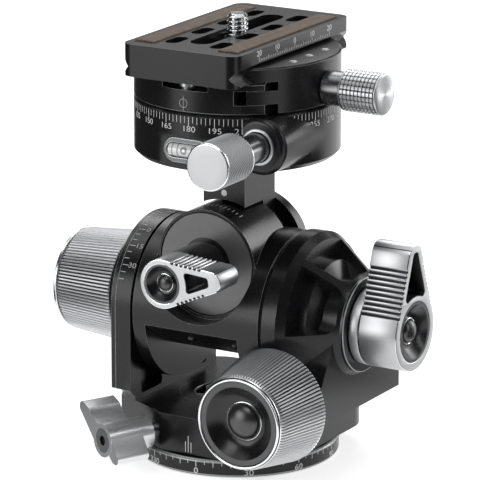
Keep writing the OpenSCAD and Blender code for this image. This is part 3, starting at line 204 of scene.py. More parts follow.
def spun_material(name, base, centre_m, axis):
    """Metal faced on a lathe: rings round an axis through the centre, which reflect in bright sectors."""
    m = material(name, base, metallic=1.0, rough=0.33, vary=0.03, aniso=0.85)
    nt = m.node_tree
    off = nt.nodes.new("ShaderNodeVectorMath")
    off.operation = "SUBTRACT"
    off.inputs[1].default_value = centre_m
    nt.links.new(nt.nodes["Texture Coordinate"].outputs["Object"], off.inputs[0])
    cross = nt.nodes.new("ShaderNodeVectorMath")
    cross.operation = "CROSS_PRODUCT"
    cross.inputs[1].default_value = axis
    nt.links.new(off.outputs["Vector"], cross.inputs[0])
    norm = nt.nodes.new("ShaderNodeVectorMath")
    norm.operation = "NORMALIZE"
    nt.links.new(cross.outputs["Vector"], norm.inputs[0])
    nt.links.new(norm.outputs["Vector"], nt.nodes["Principled BSDF"].inputs["Tangent"])
    return m


def glass_material(name, tint):
    """Clear liquid with a faint tint."""
    m = material(name, tint, rough=0.03, vary=0.03, rough_vary=0.01)
    b = m.node_tree.nodes["Principled BSDF"]
    b.inputs["Transmission Weight"].default_value = 1.0
    b.inputs["IOR"].default_value = 1.42
    return m


RUBBER = rubber_material()
SPUN = spun_material("spun_end", (0.48, 0.485, 0.49), (0.0, 0.0, CLAMP_KNOB_Z * MM), RIGHT)
LIQUID = glass_material("vial_liquid", (0.86, 0.93, 0.88))


# ---------------------------------------------------------------- mesh helpers
CREASE = 32.0  # degrees between faces that meet in a sharp edge
FACING = 0.97  # cosine from which a face counts as looking along a direction
WELD_M, WELD = 2e-6, 1e-4  # points closer than this become one
COPLANAR = 0.8  # degrees between faces that become one
TINY = 1e-6


def frame_at(origin, w, u=None):
    """Matrix whose local z runs along w from the origin and whose x runs towards u, or sideways without it."""
    w = Vector(w).normalized()
    u = Vector(u) if u else (Vector(RIGHT) if abs(w.x) < 0.9 else Vector((0, -w.x, 0)))
    u = (u - w * u.dot(w)).normalized()
    v = w.cross(u)
    m = Matrix((u, v, w)).transposed().to_4x4()
    m.translation = Vector(origin)
    return m


def finish_mesh(name, verts, faces, mats, body, face_mats=None, at=None, sharp=None):
    """A piece from points in millimetres, placed by the matrix at, riding on a body. It is smooth up to the angle
    sharp in degrees, or flat without it."""
    if at is not None:
        verts = [at @ Vector(v) for v in verts]
    me = bpy.data.meshes.new(name)
    me.from_pydata([tuple(Vector(v) * MM) for v in verts], [], faces)
    for m in mats:
        me.materials.append(m)
    if face_mats:
        for p, k in zip(me.polygons, face_mats):
            p.material_index = k
    me.validate()
    bm = bmesh.new()
    bm.from_mesh(me)
    bmesh.ops.recalc_face_normals(bm, faces=bm.faces)
    bm.to_mesh(me)
    bm.free()
    if sharp:
        me.shade_smooth()
        me.set_sharp_from_angle(angle=math.radians(sharp))
    ob = bpy.data.objects.new(name, me)
    SCENE.collection.objects.link(ob)
    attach(ob, body)
    return ob


def points_and_faces(bm):
    """The points and faces of a bmesh as lists. The bmesh is then gone."""
    bm.verts.index_update()
    verts = [tuple(v.co) for v in bm.verts]
    faces = [[v.index for v in f.verts] for f in bm.faces]
    bm.free()
    return verts, faces


def curve_bmesh(name, cu):
    """The filled shape of a curve or text, which is then gone."""
    ob = bpy.data.objects.new(name, cu)
    SCENE.collection.objects.link(ob)
    me = bpy.data.meshes.new_from_object(ob.evaluated_get(bpy.context.evaluated_depsgraph_get()))
    bm = bmesh.new()
    bm.from_mesh(me)
    bpy.data.objects.remove(ob)
    bpy.data.curves.remove(cu)
    bpy.data.meshes.remove(me)
    return bm


def dress(node, mats, width, segments=2, ends=None):
    """Stands for a CAD node: its own solid with the edges broken, and a lighter second material on the broken edges as
    a painted highlight. Faces that look along ends take the third."""
    src = NODES[node]
    bm = bmesh.new()
    bm.from_mesh(src.data)
    bmesh.ops.remove_doubles(bm, verts=bm.verts, dist=WELD_M)
    bmesh.ops.dissolve_limit(bm, angle_limit=math.radians(COPLANAR), verts=bm.verts, edges=bm.edges)
    verts, faces = points_and_faces(bm)
    me = bpy.data.meshes.new(node + "_dressed")
    me.from_pydata(verts, [], faces)
    for m in mats:
        me.materials.append(m)
    if ends:
        for p in me.polygons:
            p.material_index = 2 if abs(p.normal.dot(ends)) > FACING else 0
    me.shade_smooth()
    me.set_sharp_from_angle(angle=math.radians(CREASE))
    ob = bpy.data.objects.new(node + "_dressed", me)
    SCENE.collection.objects.link(ob)
    bv = ob.modifiers.new("bevel", "BEVEL")
    bv.width = width * MM
    bv.segments = segments
    bv.limit_method = "ANGLE"
    bv.angle_limit = math.radians(CREASE)
    bv.harden_normals = True
    bv.use_clamp_overlap = True
    if len(mats) > 1:
        bv.material = 1
    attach(ob, src["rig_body"])
    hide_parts(node)


def turned(name, prof, at, mats, body, seg=128, sharp=35.0, colour=None):
    """Turned piece. prof lists (z, r) or (z, r, material of the band that starts there). r is a radius or a
    function of the angle, and colour(row, column) gives the materials between rings of the second kind."""
    verts, rings, faces, face_mats = [], [], [], []
    for p in prof:
        z, r = p[0], p[1]
        start = len(verts)
        if not callable(r) and r < TINY:
            verts.append((0, 0, z))
        else:
            for i in range(seg):
                a = TURN * i / seg
                q = r(a) if callable(r) else r
                verts.append((q * math.cos(a), q * math.sin(a), z))
        rings.append(range(start, len(verts)))
    shaped = [k for k, p in enumerate(prof) if callable(p[1])]
    for k in range(len(prof) - 1):
        a, b = rings[k], rings[k + 1]
        band = prof[k][2] if len(prof[k]) > 2 else 0
        in_field = colour and k in shaped and k + 1 in shaped
        for i in range(seg):
            j = (i + 1) % seg
            if len(a) == 1:
                faces.append([a[0], b[i], b[j]])
            elif len(b) == 1:
                faces.append([a[i], a[j], b[0]])
            else:
                faces.append([a[i], a[j], b[j], b[i]])
            face_mats.append(colour(k - shaped[0], i) if in_field else band)
    return finish_mesh(name, verts, faces, mats, body, face_mats, at, sharp)


def outlined(name, loops, at, z0, z1, mats, body, bevel, in_groove=None):
    """Slab between z0 and z1 with the outline and holes of the loops. Its broken edges take the second material, its
    flat ends the third and what in_groove(x, y) picks out of its sides the fourth, a painted shade for hollows."""
    cu = bpy.data.curves.new(name, "CURVE")
    cu.dimensions = "2D"
    cu.fill_mode = "BOTH"
    for pts in loops:
        sp = cu.splines.new("POLY")
        sp.points.add(len(pts) - 1)
        for q, (x, y) in zip(sp.points, pts):
            q.co = (x, y, 0, 1)
        sp.use_cyclic_u = True
    cu.extrude = (z1 - z0) / 2 - bevel
    cu.bevel_depth = bevel
    cu.bevel_resolution = 1
    cu.offset = -bevel
    bm = curve_bmesh(name, cu)
    bmesh.ops.remove_doubles(bm, verts=bm.verts, dist=WELD)
    bm.normal_update()
    side, edge, end, groove = range(4)
    face_mats = []
    for f in bm.faces:
        c, up = f.calc_center_median(), abs(f.normal.z)
        face_mats.append(end if up >= FACING else groove if in_groove and in_groove(c.x, c.y)
                         else edge if up > 0.2 else side)
    verts, faces = points_and_faces(bm)
    middle = (z0 + z1) / 2
    verts = [(x, y, z + middle) for x, y, z in verts]
    return finish_mesh(name, verts, faces, mats, body, face_mats, at, 30.0)


def arc(cx, cy, r, a0, a1, steps):
    """Points of an arc between two angles in degrees."""
    out = []
    for k in range(steps + 1):
        a = math.radians(a0 + (a1 - a0) * k / steps)
        out.append((cx + r * math.cos(a), cy + r * math.sin(a)))
    return out


# ---------------------------------------------------------------- CAD nodes that stay, and dressed ones
KEPT = (
    (STEEL, ("tripod_bush", "pan_spindle", "spindle_screws", "tilt_worm", "roll_worm", "tilt_shaft", "roll_shaft",
             "post_screws", "clamp_axle", "clamp_guides", "clamp_screw", "tilt_lock_stud", "roll_lock_stud",
             "pan_lock_stud", "cover_screws", "jaw_screws", "camera_washer")),
    (BRONZE, ("tilt_bushes", "worm_bushes", "pan_lock_shoe", "tilt_wheel", "roll_bushes", "roll_wheel", "lock_cotter")),
    (DARK_STEEL, ("disc_lock_screw", "clamp_collar")),
    (BLACK_FINE, ("drum_screws",)),
    (LIQUID, ("level_vial",)),
)
for mat, nodes in KEPT:
    for node in nodes:
        me = NODES[node].data
        me.materials.clear()
        me.materials.append(mat)
        me.shade_smooth()
        me.set_sharp_from_angle(angle=math.radians(CREASE))

for node, width in (("base_disc", 0.3), ("yoke_frame", 0.3), ("gear_housing", 0.3), ("drum", 0.25), ("post", 0.4),
                    ("pan_disc", 0.3), ("clamp_body", 0.3), ("movable_jaw", 0.35), ("level_cup", 0.2),
                    ("left_cover", 0.2), ("left_collar", 0.3), ("lever_collar", 0.3), ("rear_cap", 0.3),
                    ("plate", 0.35)):
    dress(node, [BLACK, EDGE_HIGHLIGHT], width)
PAN_LOCK_AXIS = Vector((-0.438, -0.899, 0))
dress("pan_lock_cap", [BLACK_FINE], 0.15)
# the wing's broken edges are painted lighter as a highlight, and its end faces darker as shade
dress("pan_lock_wing", [WING, BRIGHT_HIGHLIGHT, WING_END_SHADE], 0.5, 3, PAN_LOCK_AXIS)
# the level frame's broken edges are painted light as a highlight
dress("vial_frame", [DARK_STEEL, VIAL_FRAME_HIGHLIGHT], 0.15)


# ---------------------------------------------------------------- ribbed knobs with their dishes
RIBS = 100
RIB_DEPTH = 0.62
RIB_SHARES = (1.0, 0.75, 0.15, 0.0, 0.0, 0.0, 0.15, 0.75)  # depth of the groove at the points of one rib
RIB_POINTS = len(RIB_SHARES)
RUN_OUT = 2.3  # length over which the ribs run out in teeth
BEAD_R = 0.36
DOME_RISE = 0.55  # height of a dish's middle as a share of its radius


def ribbed(name, at, length, back_r, front_r, body, node):
    """Tapered knob with straight ribs that run out in teeth at the front, and a stepped rim with a bead. The bead, the
    rim's steps and the back's chamfer are painted lighter as a highlight; the bottoms of the grooves between the ribs
    and thin lines in the rim are painted darker as shade.
    """
    def line(z):
        return back_r + (front_r - back_r) * z / length

    def radius(z, a):
        deep = RIB_DEPTH * RIB_SHARES[round(a / TURN * RIBS * RIB_POINTS) % RIB_POINTS]
        front_cone = line(z) - 0.75 * (z - length + RUN_OUT)
        back_edge = line(z) - 0.3 + 0.8 * z
        return min(line(z) - deep, front_cone, back_edge)

    # the bottoms of the grooves between the ribs are painted shade
    def colour(row, col):
        return groove if col % RIB_POINTS in (0, RIB_POINTS - 1) else metal

    metal, bright, groove = range(3)
    zs = [0.0, 0.2, 0.4, 0.8, length * 0.35, length * 0.7, length - RUN_OUT - 0.2]
    zs += [length - RUN_OUT + 0.1 * k for k in range(10)]
    bead = front_r - 0.83
    prof = [(0.0, 3.0, metal), (0.0, back_r - 1.5, bright)]
    prof += [(z, lambda a, z=z: radius(z, a)) for z in zs]
    prof += [
        (length - 1.36, front_r - 0.75, groove), (length - 1.3, front_r - 0.75, bright),
        (length - 1.25, front_r - 0.2, bright), (length - 1.1, front_r - 0.1, bright),
        (length - 0.9, front_r - 0.1, bright), (length - 0.75, front_r - 0.25, groove),
        (length - 1.0, front_r - 0.32, groove), (length - 1.0, bead + BEAD_R, groove),
        (length - 0.8, bead + BEAD_R, bright),
    ]
    for k in range(13):
        a = math.pi * k / 12
        prof.append((length - BEAD_R + BEAD_R * math.sin(a), bead + BEAD_R * math.cos(a), bright))
    prof += [(length - 0.6, bead - 0.38, bright), (length - 3.0, bead - 0.4, bright)]
    ob = turned(name, prof, at, [SILVER, BRIGHT_HIGHLIGHT, GROOVE_SHADE], body, RIBS * RIB_POINTS, 30.0, colour)
    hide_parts(node)


def dish(name, at, top, r, inner, ring_r, floor, body, node):
    """Black dish with a satin rim, a hollow cone, a thin ring painted lighter as a highlight and a domed middle; its
    rim at height top.
    """
    rim, bowl, ring, dome = range(4)
    lip = 0.12
    low = top - floor
    prof = [(low - 0.4, r, rim), (top - 0.1, r, rim), (top, r - 0.1, rim), (top, inner + 0.1, rim),
            (top - lip, inner, bowl)]
    for k in range(1, 10):
        t = k / 10
        z = top - lip - (floor - lip) * math.sin(t * math.pi / 2)
        prof.append((z, inner - (inner - ring_r - 0.35) * t, bowl))
    prof += [(low, ring_r + 0.35, ring), (low + 0.45, ring_r + 0.22, ring), (low + 0.5, ring_r + 0.08, ring),
             (low + 0.35, ring_r - 0.08, dome)]
    for k in range(10):
        a = k / 10 * math.pi / 2
        prof.append((low + 0.15 + ring_r * DOME_RISE * math.sin(a), (ring_r - 0.15) * math.cos(a), dome))
    prof.append((low + 0.15 + ring_r * DOME_RISE, 0.0, dome))
    ob = turned(name, prof, at, [CAP_RING, CAP, BRIGHT_HIGHLIGHT, GLOSS], body, sharp=25.0)
    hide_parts(node)


FRONT_KNOB = frame_at((WORM_X, -28.3, WORM_Z), FORWARD)
LEFT_KNOB = frame_at((-34.1, 0, TILT_Z), LEFT)
ribbed("front_knob_ribbed", FRONT_KNOB, length=20.5, back_r=17.0, front_r=13.6, body="tilt_drive", node="front_knob")
dish("front_knob_dish", FRONT_KNOB, top=20.1, r=12.3, inner=10.6, ring_r=5.4, floor=3.6,
     body="tilt_drive", node="front_knob_cap")
ribbed("left_knob_ribbed", LEFT_KNOB, length=21.0, back_r=17.0, front_r=15.2, body="roll_drive", node="left_knob")
dish("left_knob_dish", LEFT_KNOB, top=20.6, r=13.9, inner=12.0, ring_r=6.2, floor=3.6,
     body="roll_drive", node="left_knob_cap")
turned("front_knob_neck", [(-3.0, 3.0), (-3.0, 7.6), (-2.6, 8.0), (0.2, 8.0), (0.2, 3.0)], FRONT_KNOB, [SILVER],
       "tilt_drive")


# ---------------------------------------------------------------- levers
RIDGE_PITCH, RIDGE_DEPTH = 1.5, 0.62
RIDGE_SHARES = ((0.0, 0.0), (0.1, 0.55), (0.2, 0.9), (0.32, 1.0), (0.42, 0.9), (0.5, 0.6), (0.62, 0.2), (0.78, 0.0))
LEVER_BEVEL = 0.22


def flank(hub, tip, d, start, count):
    """Lean in degrees and right-hand side of a pear outline from the hub up to the tip, with count ridges that
    end start below the tip."""
    lean = math.asin((hub - tip) / d)
    nx, ny = math.cos(lean), math.sin(lean)
    tx, ty = -ny, nx
    length = math.sqrt(d * d - (hub - tip) ** 2)
    first = length - start - count * RIDGE_PITCH
    out = []
    for k in range(count):
        for t, g in RIDGE_SHARES:
            s = first + (k + t) * RIDGE_PITCH
            out.append((hub * nx + tx * s - nx * RIDGE_DEPTH * g, hub * ny + ty * s - ny * RIDGE_DEPTH * g))
    return math.degrees(lean), out


def pear_lever(name, at, hub, tip, length, z0, z1, start, count, hole, dish_r, body, node):
    """Lever blade: hub at the origin, tip up along y, ridged flanks, a rounded triangular hole and the dish's seat.
    hole gives its lowest and highest reach, the wall beside it and the radius of its corners."""
    d = length - tip
    lean, right = flank(hub, tip, d, start, count)
    left = [(-x, y) for x, y in reversed(right)]
    outer = arc(0, 0, hub, 180 - lean, 360 + lean, 60) + right + arc(0, d, tip, lean, 180 - lean, 28) + left
    low, high, wall, round_r = hole
    sn, cs = math.sin(math.radians(lean)), math.cos(math.radians(lean))
    edge = hub - wall - round_r
    corner_r = low + round_r
    top_y = min(edge / sn, high - round_r)
    corner = math.radians(lean) + math.pi / 2 - math.asin(max(-1.0, min(1.0, edge / corner_r)))
    cx, cy = corner_r * math.cos(corner), corner_r * math.sin(corner)
    bulge = math.degrees(corner)
    half_top = max(0.0, (edge - top_y * sn) / cs)
    pts = arc(cx, cy, round_r, bulge + 180, 360 + lean, 8) + arc(half_top, top_y, round_r, lean, 90, 8)
    hole_loop = pts + [(-x, y) for x, y in reversed(pts)]
    hole_loop += arc(0, 0, low, 180 - bulge, bulge, 14)[1:-1]

    def in_ridges(x, y):
        return hub - cs * abs(x) - sn * y > 0.28 and y > hub * sn + 0.1 and math.hypot(x, y) < d + tip - 1

    # the blade's bevels are painted lighter as a highlight, and the grooves between its ridges darker as shade
    ob = outlined(name, [outer, hole_loop, arc(0, 0, dish_r, 0, 350, 35)], at, z0, z1,
                  [SILVER, BRIGHT_HIGHLIGHT, SILVER_FACE, GROOVE_SHADE], body, LEVER_BEVEL, in_ridges)
    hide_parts(node)


TILT_LEVER = frame_at((0, 0, TILT_Z), RIGHT, BACKWARD)
pear_lever("tilt_lever_blade", TILT_LEVER, hub=11.5, tip=4.0, length=26.0, z0=46.75, z1=58.95, start=3.6, count=10,
           hole=(10.6, 23.4, 2.5, 1.2), dish_r=8.9, body="tilt_lock", node="tilt_lever")
# the hub's thin groove, its second band, is painted shade
turned("tilt_lever_hub", [
    (46.6, 2.5, 0), (43.35, 2.5, 0), (43.35, 11.0, 0), (43.6, 11.35, 0), (46.2, 11.5, 0), (46.4, 11.4, 1),
    (46.5, 11.1, 1), (46.75, 11.1, 0), (47.0, 9.5, 0), (56.0, 9.5, 0), (56.0, 2.5, 0), (46.6, 2.5, 0),
], TILT_LEVER, [SILVER, GROOVE_SHADE], "tilt_lock")
dish("tilt_lever_dish", frame_at((58.9, 0, TILT_Z), RIGHT), top=0.0, r=9.05, inner=8.0, ring_r=3.7, floor=2.4,
     body="tilt_lock", node="tilt_lever_cap")

ROLL_AXIS = frame_at((0, 0, ROLL_Z), FORWARD)
ROLL_SWING = math.radians(9.5)
ROLL_LEVER = frame_at((0, 0, ROLL_Z), FORWARD, (math.sin(ROLL_SWING), 0, -math.cos(ROLL_SWING)))
pear_lever("roll_lever_blade", ROLL_LEVER, hub=7.2, tip=3.2, length=19.6, z0=31.95, z1=42.15, start=3.0, count=7,
           hole=(8.2, 15.4, 2.3, 0.8), dish_r=5.75, body="roll_lock", node="roll_lever")
turned("roll_lever_hub", [(31.95, 2.5), (31.95, 6.0), (39.4, 6.0), (39.4, 2.5), (31.95, 2.5)], ROLL_LEVER,
       [SILVER], "roll_lock")
dish("roll_lever_dish", frame_at((0, -42.1, ROLL_Z), FORWARD), top=0.0, r=5.9, inner=5.1, ring_r=2.5, floor=2.2,
     body="roll_lock", node="roll_lever_cap")


# ---------------------------------------------------------------- knurled knobs
KNURL_STEPS = 6  # points to one raised diamond or block
DIAMOND_STEEP, BLOCK_STEEP = 1.35, 2.2


def knurled(name, at, z0, z1, r, depth, rows, cols, rim, diamond, body, node, mats):
    """Knob with a knurl of raised diamonds or blocks between z0 and z1 and a turned end at z1. mats are those of the
    knurl, the turned edges and the end face. The knurl's hollows and the grooves at its ends are painted shade."""
    n = rows * KNURL_STEPS
    band0, band1 = z0 + rim, z1 - rim
    groove_top = 0.65 if diamond else 0.55

    def height(t, a):
        if diamond:
            p = abs(math.sin((cols * a + TURN * rows * t) / 2))
            q = abs(math.sin((cols * a - TURN * rows * t) / 2))
            return min(1.0, DIAMOND_STEEP * min(p, q))
        p = abs(math.sin(math.pi * rows * t))
        q = abs(math.sin(cols * a / 2))
        return min(1.0, BLOCK_STEEP * p) * min(1.0, BLOCK_STEEP * q)

    def radius(z, a):
        return r - depth + depth * height((z - band0) / (band1 - band0), a)

    # the knurl's hollows are painted shade
    def colour(row, col):
        return groove if height((row + 0.5) / n, TURN * (col + 0.5) / (cols * KNURL_STEPS)) < groove_top else metal

    metal, edge, face, groove = range(4)
    prof = [(z0, 1.5, edge), (z0, r - 0.55, edge), (z0 + 0.2, r - 0.25, edge), (z0 + 0.4, r - 0.12, edge),
            (band0 - 0.12, r - 0.12, groove), (band0 - 0.02, r - depth, groove)]
    for k in range(n + 1):
        z = band0 + (band1 - band0) * k / n
        prof.append((z, lambda a, z=z: radius(z, a)))
    prof += [(band1 + 0.02, r - depth, groove), (band1 + 0.12, r - 0.1, edge), (z1 - 0.3, r - 0.05, edge),
             (z1 - 0.08, r - 0.25, edge), (z1, r - 0.5, face), (z1, r * 0.5, face), (z1, 0.0, face)]
    ob = turned(name, prof, at, mats + [GROOVE_SHADE], body, cols * KNURL_STEPS, 50.0, colour)
    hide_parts(node)


CLAMP_AXIS = frame_at((0, 0, CLAMP_KNOB_Z), RIGHT)
LUG_AXIS = frame_at((LUG_X, 0, LUG_Z), FORWARD)
knurled("clamp_knob_knurled", CLAMP_AXIS, z0=36.0, z1=48.5, r=6.1, depth=0.5, rows=9, cols=26, rim=0.8, diamond=False,
        body="clamp_drive", node="clamp_knob", mats=[SILVER, SILVER, SPUN])
# the disc lock's turned edges are painted lighter as a highlight
knurled("disc_lock_knurled", LUG_AXIS, z0=38.0, z1=52.5, r=6.9, depth=0.45, rows=15, cols=46, rim=0.9, diamond=True,
        body="disc_lock", node="disc_lock_knob", mats=[SILVER, BRIGHT_HIGHLIGHT, SILVER_FACE])


# ---------------------------------------------------------------- washer, straight level and small turned pieces
ob = turned("front_washer", [
    (16.3, 2.6, 0), (16.3, 15.2, 0), (17.45, 15.2, 0), (17.6, 15.05, 0), (17.6, 7.9, 1), (17.35, 7.8, 1),
    (17.35, 7.2, 1), (31.4, 7.2, 1), (31.8, 6.8, 1), (31.8, 2.6, 1), (16.3, 2.6, 1),
], ROLL_AXIS, [GREY, BLACK_FINE], "tilt_head")
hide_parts("front_ring")


def stadium(w, h):
    half = w / 2 - h / 2
    return arc(half, 0, h / 2, -90, 90, 14) + arc(-half, 0, h / 2, 90, 270, 14)


# the level: pale back, tube, its lines, and the bubble as a painted highlight inside a dark rim of painted shade
VIAL = frame_at((0, -28.7, VIAL_Z), FORWARD, RIGHT)
TUBE = frame_at((0, -27.9, VIAL_Z), RIGHT, UP)
BUBBLE = frame_at((-0.2, -29.72, VIAL_Z + 0.3), FORWARD)
outlined("vial_back", [stadium(13.2, 5.6)], VIAL, -2.4, -1.2, [VIAL_BODY, VIAL_BODY, VIAL_BODY], "roll_head",
         0.1)
ob = turned("vial_tube", [(-5.9, 0.0), (-5.9, 1.2), (-5.4, 1.9), (5.4, 1.9), (5.9, 1.2), (5.9, 0.0)], TUBE,
            [VIAL_BODY], "roll_head", 40)
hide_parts("disc_vial")
for k, x in enumerate((-4.1, -2.3, 2.3, 4.1)):
    x0, x1 = x - 0.14, x + 0.14
    turned("vial_line_" + str(k), [(x0, 1.8), (x0, 1.95), (x1, 1.95), (x1, 1.8), (x0, 1.8)], TUBE, [VIAL_LINES_AND_BUBBLE_SHADE],
           "roll_head", 40)
# the bubble: a dark rim of painted shade round a painted highlight
turned("vial_bubble_shaded_rim", [(0.0, 0.55), (0.12, 0.65), (0.12, 0.95), (0.0, 1.1), (-0.3, 1.1), (-0.3, 0.55),
                            (0.0, 0.55)], BUBBLE, [VIAL_LINES_AND_BUBBLE_SHADE], "roll_head", 36)
turned("vial_bubble", [(0.1, 0.0), (0.05, 0.35), (-0.15, 0.55), (-0.3, 0.6)], BUBBLE, [BRIGHT_HIGHLIGHT], "roll_head",
       36)

# light ring round the disc lock's shaft, and the flanged stop pin
turned("lug_ring", [(24.8, 4.4), (25.55, 4.4), (25.7, 4.55), (25.7, 5.0), (25.5, 5.3), (24.8, 5.3)], LUG_AXIS,
       [SILVER], "roll_head")
ob = turned("stop_pin_turned", [
    (0.0, 0.0), (0.0, 1.9), (2.9, 1.9), (3.0, 1.75), (3.25, 1.75), (3.3, 2.35), (3.45, 2.5), (4.5, 2.5), (4.85, 2.2),
    (4.85, 0.0),
], frame_at((0, -27.2, 111.4), UP), [SILVER], "pin", 64)
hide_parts("stop_pin")


STRIP_X, STRIP_Z0, STRIP_Z1 = 13.7, 125.62, 126.48


def strip(name, cx):
    """Rubber strip with scalloped ends."""
    w, length, n, scallop = 6.2, 57.0, 10, 0.5
    end = [(-w / 2 + w * k / n, length / 2 - (scallop if k % 2 else 0.0)) for k in range(n + 1)]
    loop = end + [(-x, -y) for x, y in end]
    return outlined(name, [loop], frame_at((cx, 0, 0), UP), STRIP_Z0, STRIP_Z1, [RUBBER, RUBBER, RUBBER],
                    "quick_plate", 0.12)


for ob in (strip("strip_left", -STRIP_X), strip("strip_right", STRIP_X)):
    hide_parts("rubber_strips")

# bright rims of the jaw's screws
JAW_SCREW_X, JAW_SCREW_PITCH, JAW_SCREW_Z = 23.8, 9.2, 121.0
SCREW_RIM = [(-0.4, 1.15), (0.02, 1.15), (0.04, 1.05), (-0.25, 0.62), (-0.5, 0.6), (-0.5, 1.1), (-0.4, 1.15)]
for k in (-1, 0, 1):
    turned("jaw_screw_rim_" + str(k + 1), SCREW_RIM, frame_at((JAW_SCREW_X, JAW_SCREW_PITCH * k, JAW_SCREW_Z), UP),
           [STEEL], NODES["jaw_screws"]["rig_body"], 40)


# ---------------------------------------------------------------- camera screw
def camera_screw():
    """Cheese-headed screw with a quarter-inch thread, 20 turns to the inch."""
    pitch, r, depth, steep, crest = 1.27, 3.15, 0.62, 1.35, 0.12
    z0, z1, lead, lead_depth = 122.5, 130.85, 0.9, 0.95

    def radius(z, a):
        t = (z / pitch - a / TURN) % 1.0
        tooth = abs(2 * t - 1)
        top = min(1.0, max(0.0, (z1 - z) / lead))
        return min(r - depth * min(1.0, max(0.0, steep * tooth - crest)), r - lead_depth * (1 - top))

    n = int((z1 - z0) / pitch * 10)
    prof = [(116.8, 2.2), (116.8, 5.3), (117.1, 5.6), (119.1, 5.6), (119.4, 5.3), (119.4, 2.9), (122.4, 2.6)]
    for k in range(n + 1):
        z = z0 + (z1 - z0) * k / n
        prof.append((z, lambda a, z=z: radius(z, a)))
    prof += [(z1, 1.4), (z1 - 0.05, 0.0)]
    ob = turned("camera_screw_threaded", prof, frame_at((0, 0, 0), UP), [STEEL], "camera_bolt", 48, 30.0)
    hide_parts("camera_screw")


camera_screw()


# ---------------------------------------------------------------- marks
INK_TOP, DOT_TOP, INK_LOW = 0.03, 0.04, -0.04
FIGURE_WIDEN = 1.22  # the figures are that much wider than the font's
RING_STEPS, DOT_STEPS = 28, 24
FRONT_ANGLE = -math.pi / 2


def around(at, radius, angle):
    """Wraps a flat drawing (x along the rim, y along the axis) round a cylinder whose axis is at's z."""
    def put(pts):
        out = []
        for x, y, d in pts:
            a, r = angle + x / radius, radius + d
            out.append(at @ Vector((r * math.cos(a), r * math.sin(a), y)))
        return out
    return put


def flat(at):
    """Lays a flat drawing on the plane across at's z."""
    return lambda pts: [at @ Vector(p) for p in pts]


class Ink:
    """Collects the marks of one body: ticks, figures and rings, as thin raised paint. put places a drawing's
    points (x, y, height)."""

    def __init__(self):
        self.verts, self.faces = [], []

    def add(self, verts, faces):
        base = len(self.verts)
        self.verts += [tuple(v) for v in verts]
        self.faces += [[i + base for i in f] for f in faces]

    def raised(self, put, top, faces):
        """The faces of a top outline and its copy below, whose points follow it."""
        self.add(put(top + [(x, y, INK_LOW) for x, y, _ in top]), faces)

    def bar(self, put, x0, x1, y0, y1):
        top = [(x, y, INK_TOP) for x in (x0, x1) for y in (y0, y1)]
        self.raised(put, top, [[0, 2, 3, 1], [0, 4, 6, 2], [1, 3, 7, 5], [0, 1, 5, 4], [2, 6, 7, 3]])

    def tick(self, put, width, y0, y1):
        self.bar(put, -width / 2, width / 2, y0, y1)

    def text(self, put, figures, size, x, y, bold=0.0, turn=0.0):
        """Figures centred on (x, y), size high."""
        cu = bpy.data.curves.new("figures", "FONT")
        cu.body = figures
        cu.size = size
        cu.align_x = "CENTER"
        cu.align_y = "CENTER"
        cu.resolution_u = 3
        cu.extrude = INK_TOP
        cu.offset = bold
        verts, faces = points_and_faces(curve_bmesh("figures", cu))
        c, s = math.cos(turn), math.sin(turn)
        placed = []
        for across, up, height in verts:
            wide = FIGURE_WIDEN * across
            placed.append((x + c * wide - s * up, y + s * wide + c * up, height))
        self.add(put(placed), faces)

    def ring(self, put, x, y, r, width):
        top = []
        for k in range(RING_STEPS):
            a = TURN * k / RING_STEPS
            for q in (r - width / 2, r + width / 2):
                top.append((x + q * math.cos(a), y + q * math.sin(a), INK_TOP))
        n = len(top)
        faces = []
        for k in range(RING_STEPS):
            j = (k + 1) % RING_STEPS
            faces.append([2 * k, 2 * k + 1, 2 * j + 1, 2 * j])
            faces.append([2 * k, 2 * j, n + 2 * j, n + 2 * k])
            faces.append([2 * k + 1, n + 2 * k + 1, n + 2 * j + 1, 2 * j + 1])
        self.raised(put, top, faces)

    def dot(self, put, r):
        n = DOT_STEPS
        top = [(r * math.cos(TURN * k / n), r * math.sin(TURN * k / n), DOT_TOP) for k in range(n)]
        faces = [list(range(n))] + [[k, k + n, (k + 1) % n + n, (k + 1) % n] for k in range(n)]
        self.raised(put, top, faces)

    def done(self, name, mat, body):
        finish_mesh(name, self.verts, self.faces, [mat], body)


PAN_AXIS = frame_at((0, 0, 0), UP)
BARREL_AXIS = frame_at((0, 0, ROLL_Z), BACKWARD, RIGHT)
TILT_AXIS = frame_at((0, 0, TILT_Z), RIGHT, FORWARD)
BLOCK_FRONT_Y, POST_FRONT_Y, PLATE_RIGHT_X = -28.0, -7.6, 19.0
BARREL_R, COVER_R = 16.2, 24.3

# base: a tick every 5 degrees and a figure every 30, the zero a little right of the front
BASE_DIAL_ZERO, BASE_TICK_TOP = 7.0, 4.6
ink = Ink()
for d in range(0, 360, 5):
    put = around(PAN_AXIS, DIAL_R, FRONT_ANGLE + math.radians(BASE_DIAL_ZERO + d))
    if d % 30 == 0:
        ink.tick(put, 0.24, BASE_TICK_TOP - 1.9, BASE_TICK_TOP)
        ink.text(put, str(d), 2.4, 0, 1.45, 0.02)
    elif d % 10 == 0:
        ink.tick(put, 0.22, BASE_TICK_TOP - 1.7, BASE_TICK_TOP)
    else:
        ink.tick(put, 0.18, BASE_TICK_TOP - 1.1, BASE_TICK_TOP)
ink.done("base_dial", WHITE, "base")

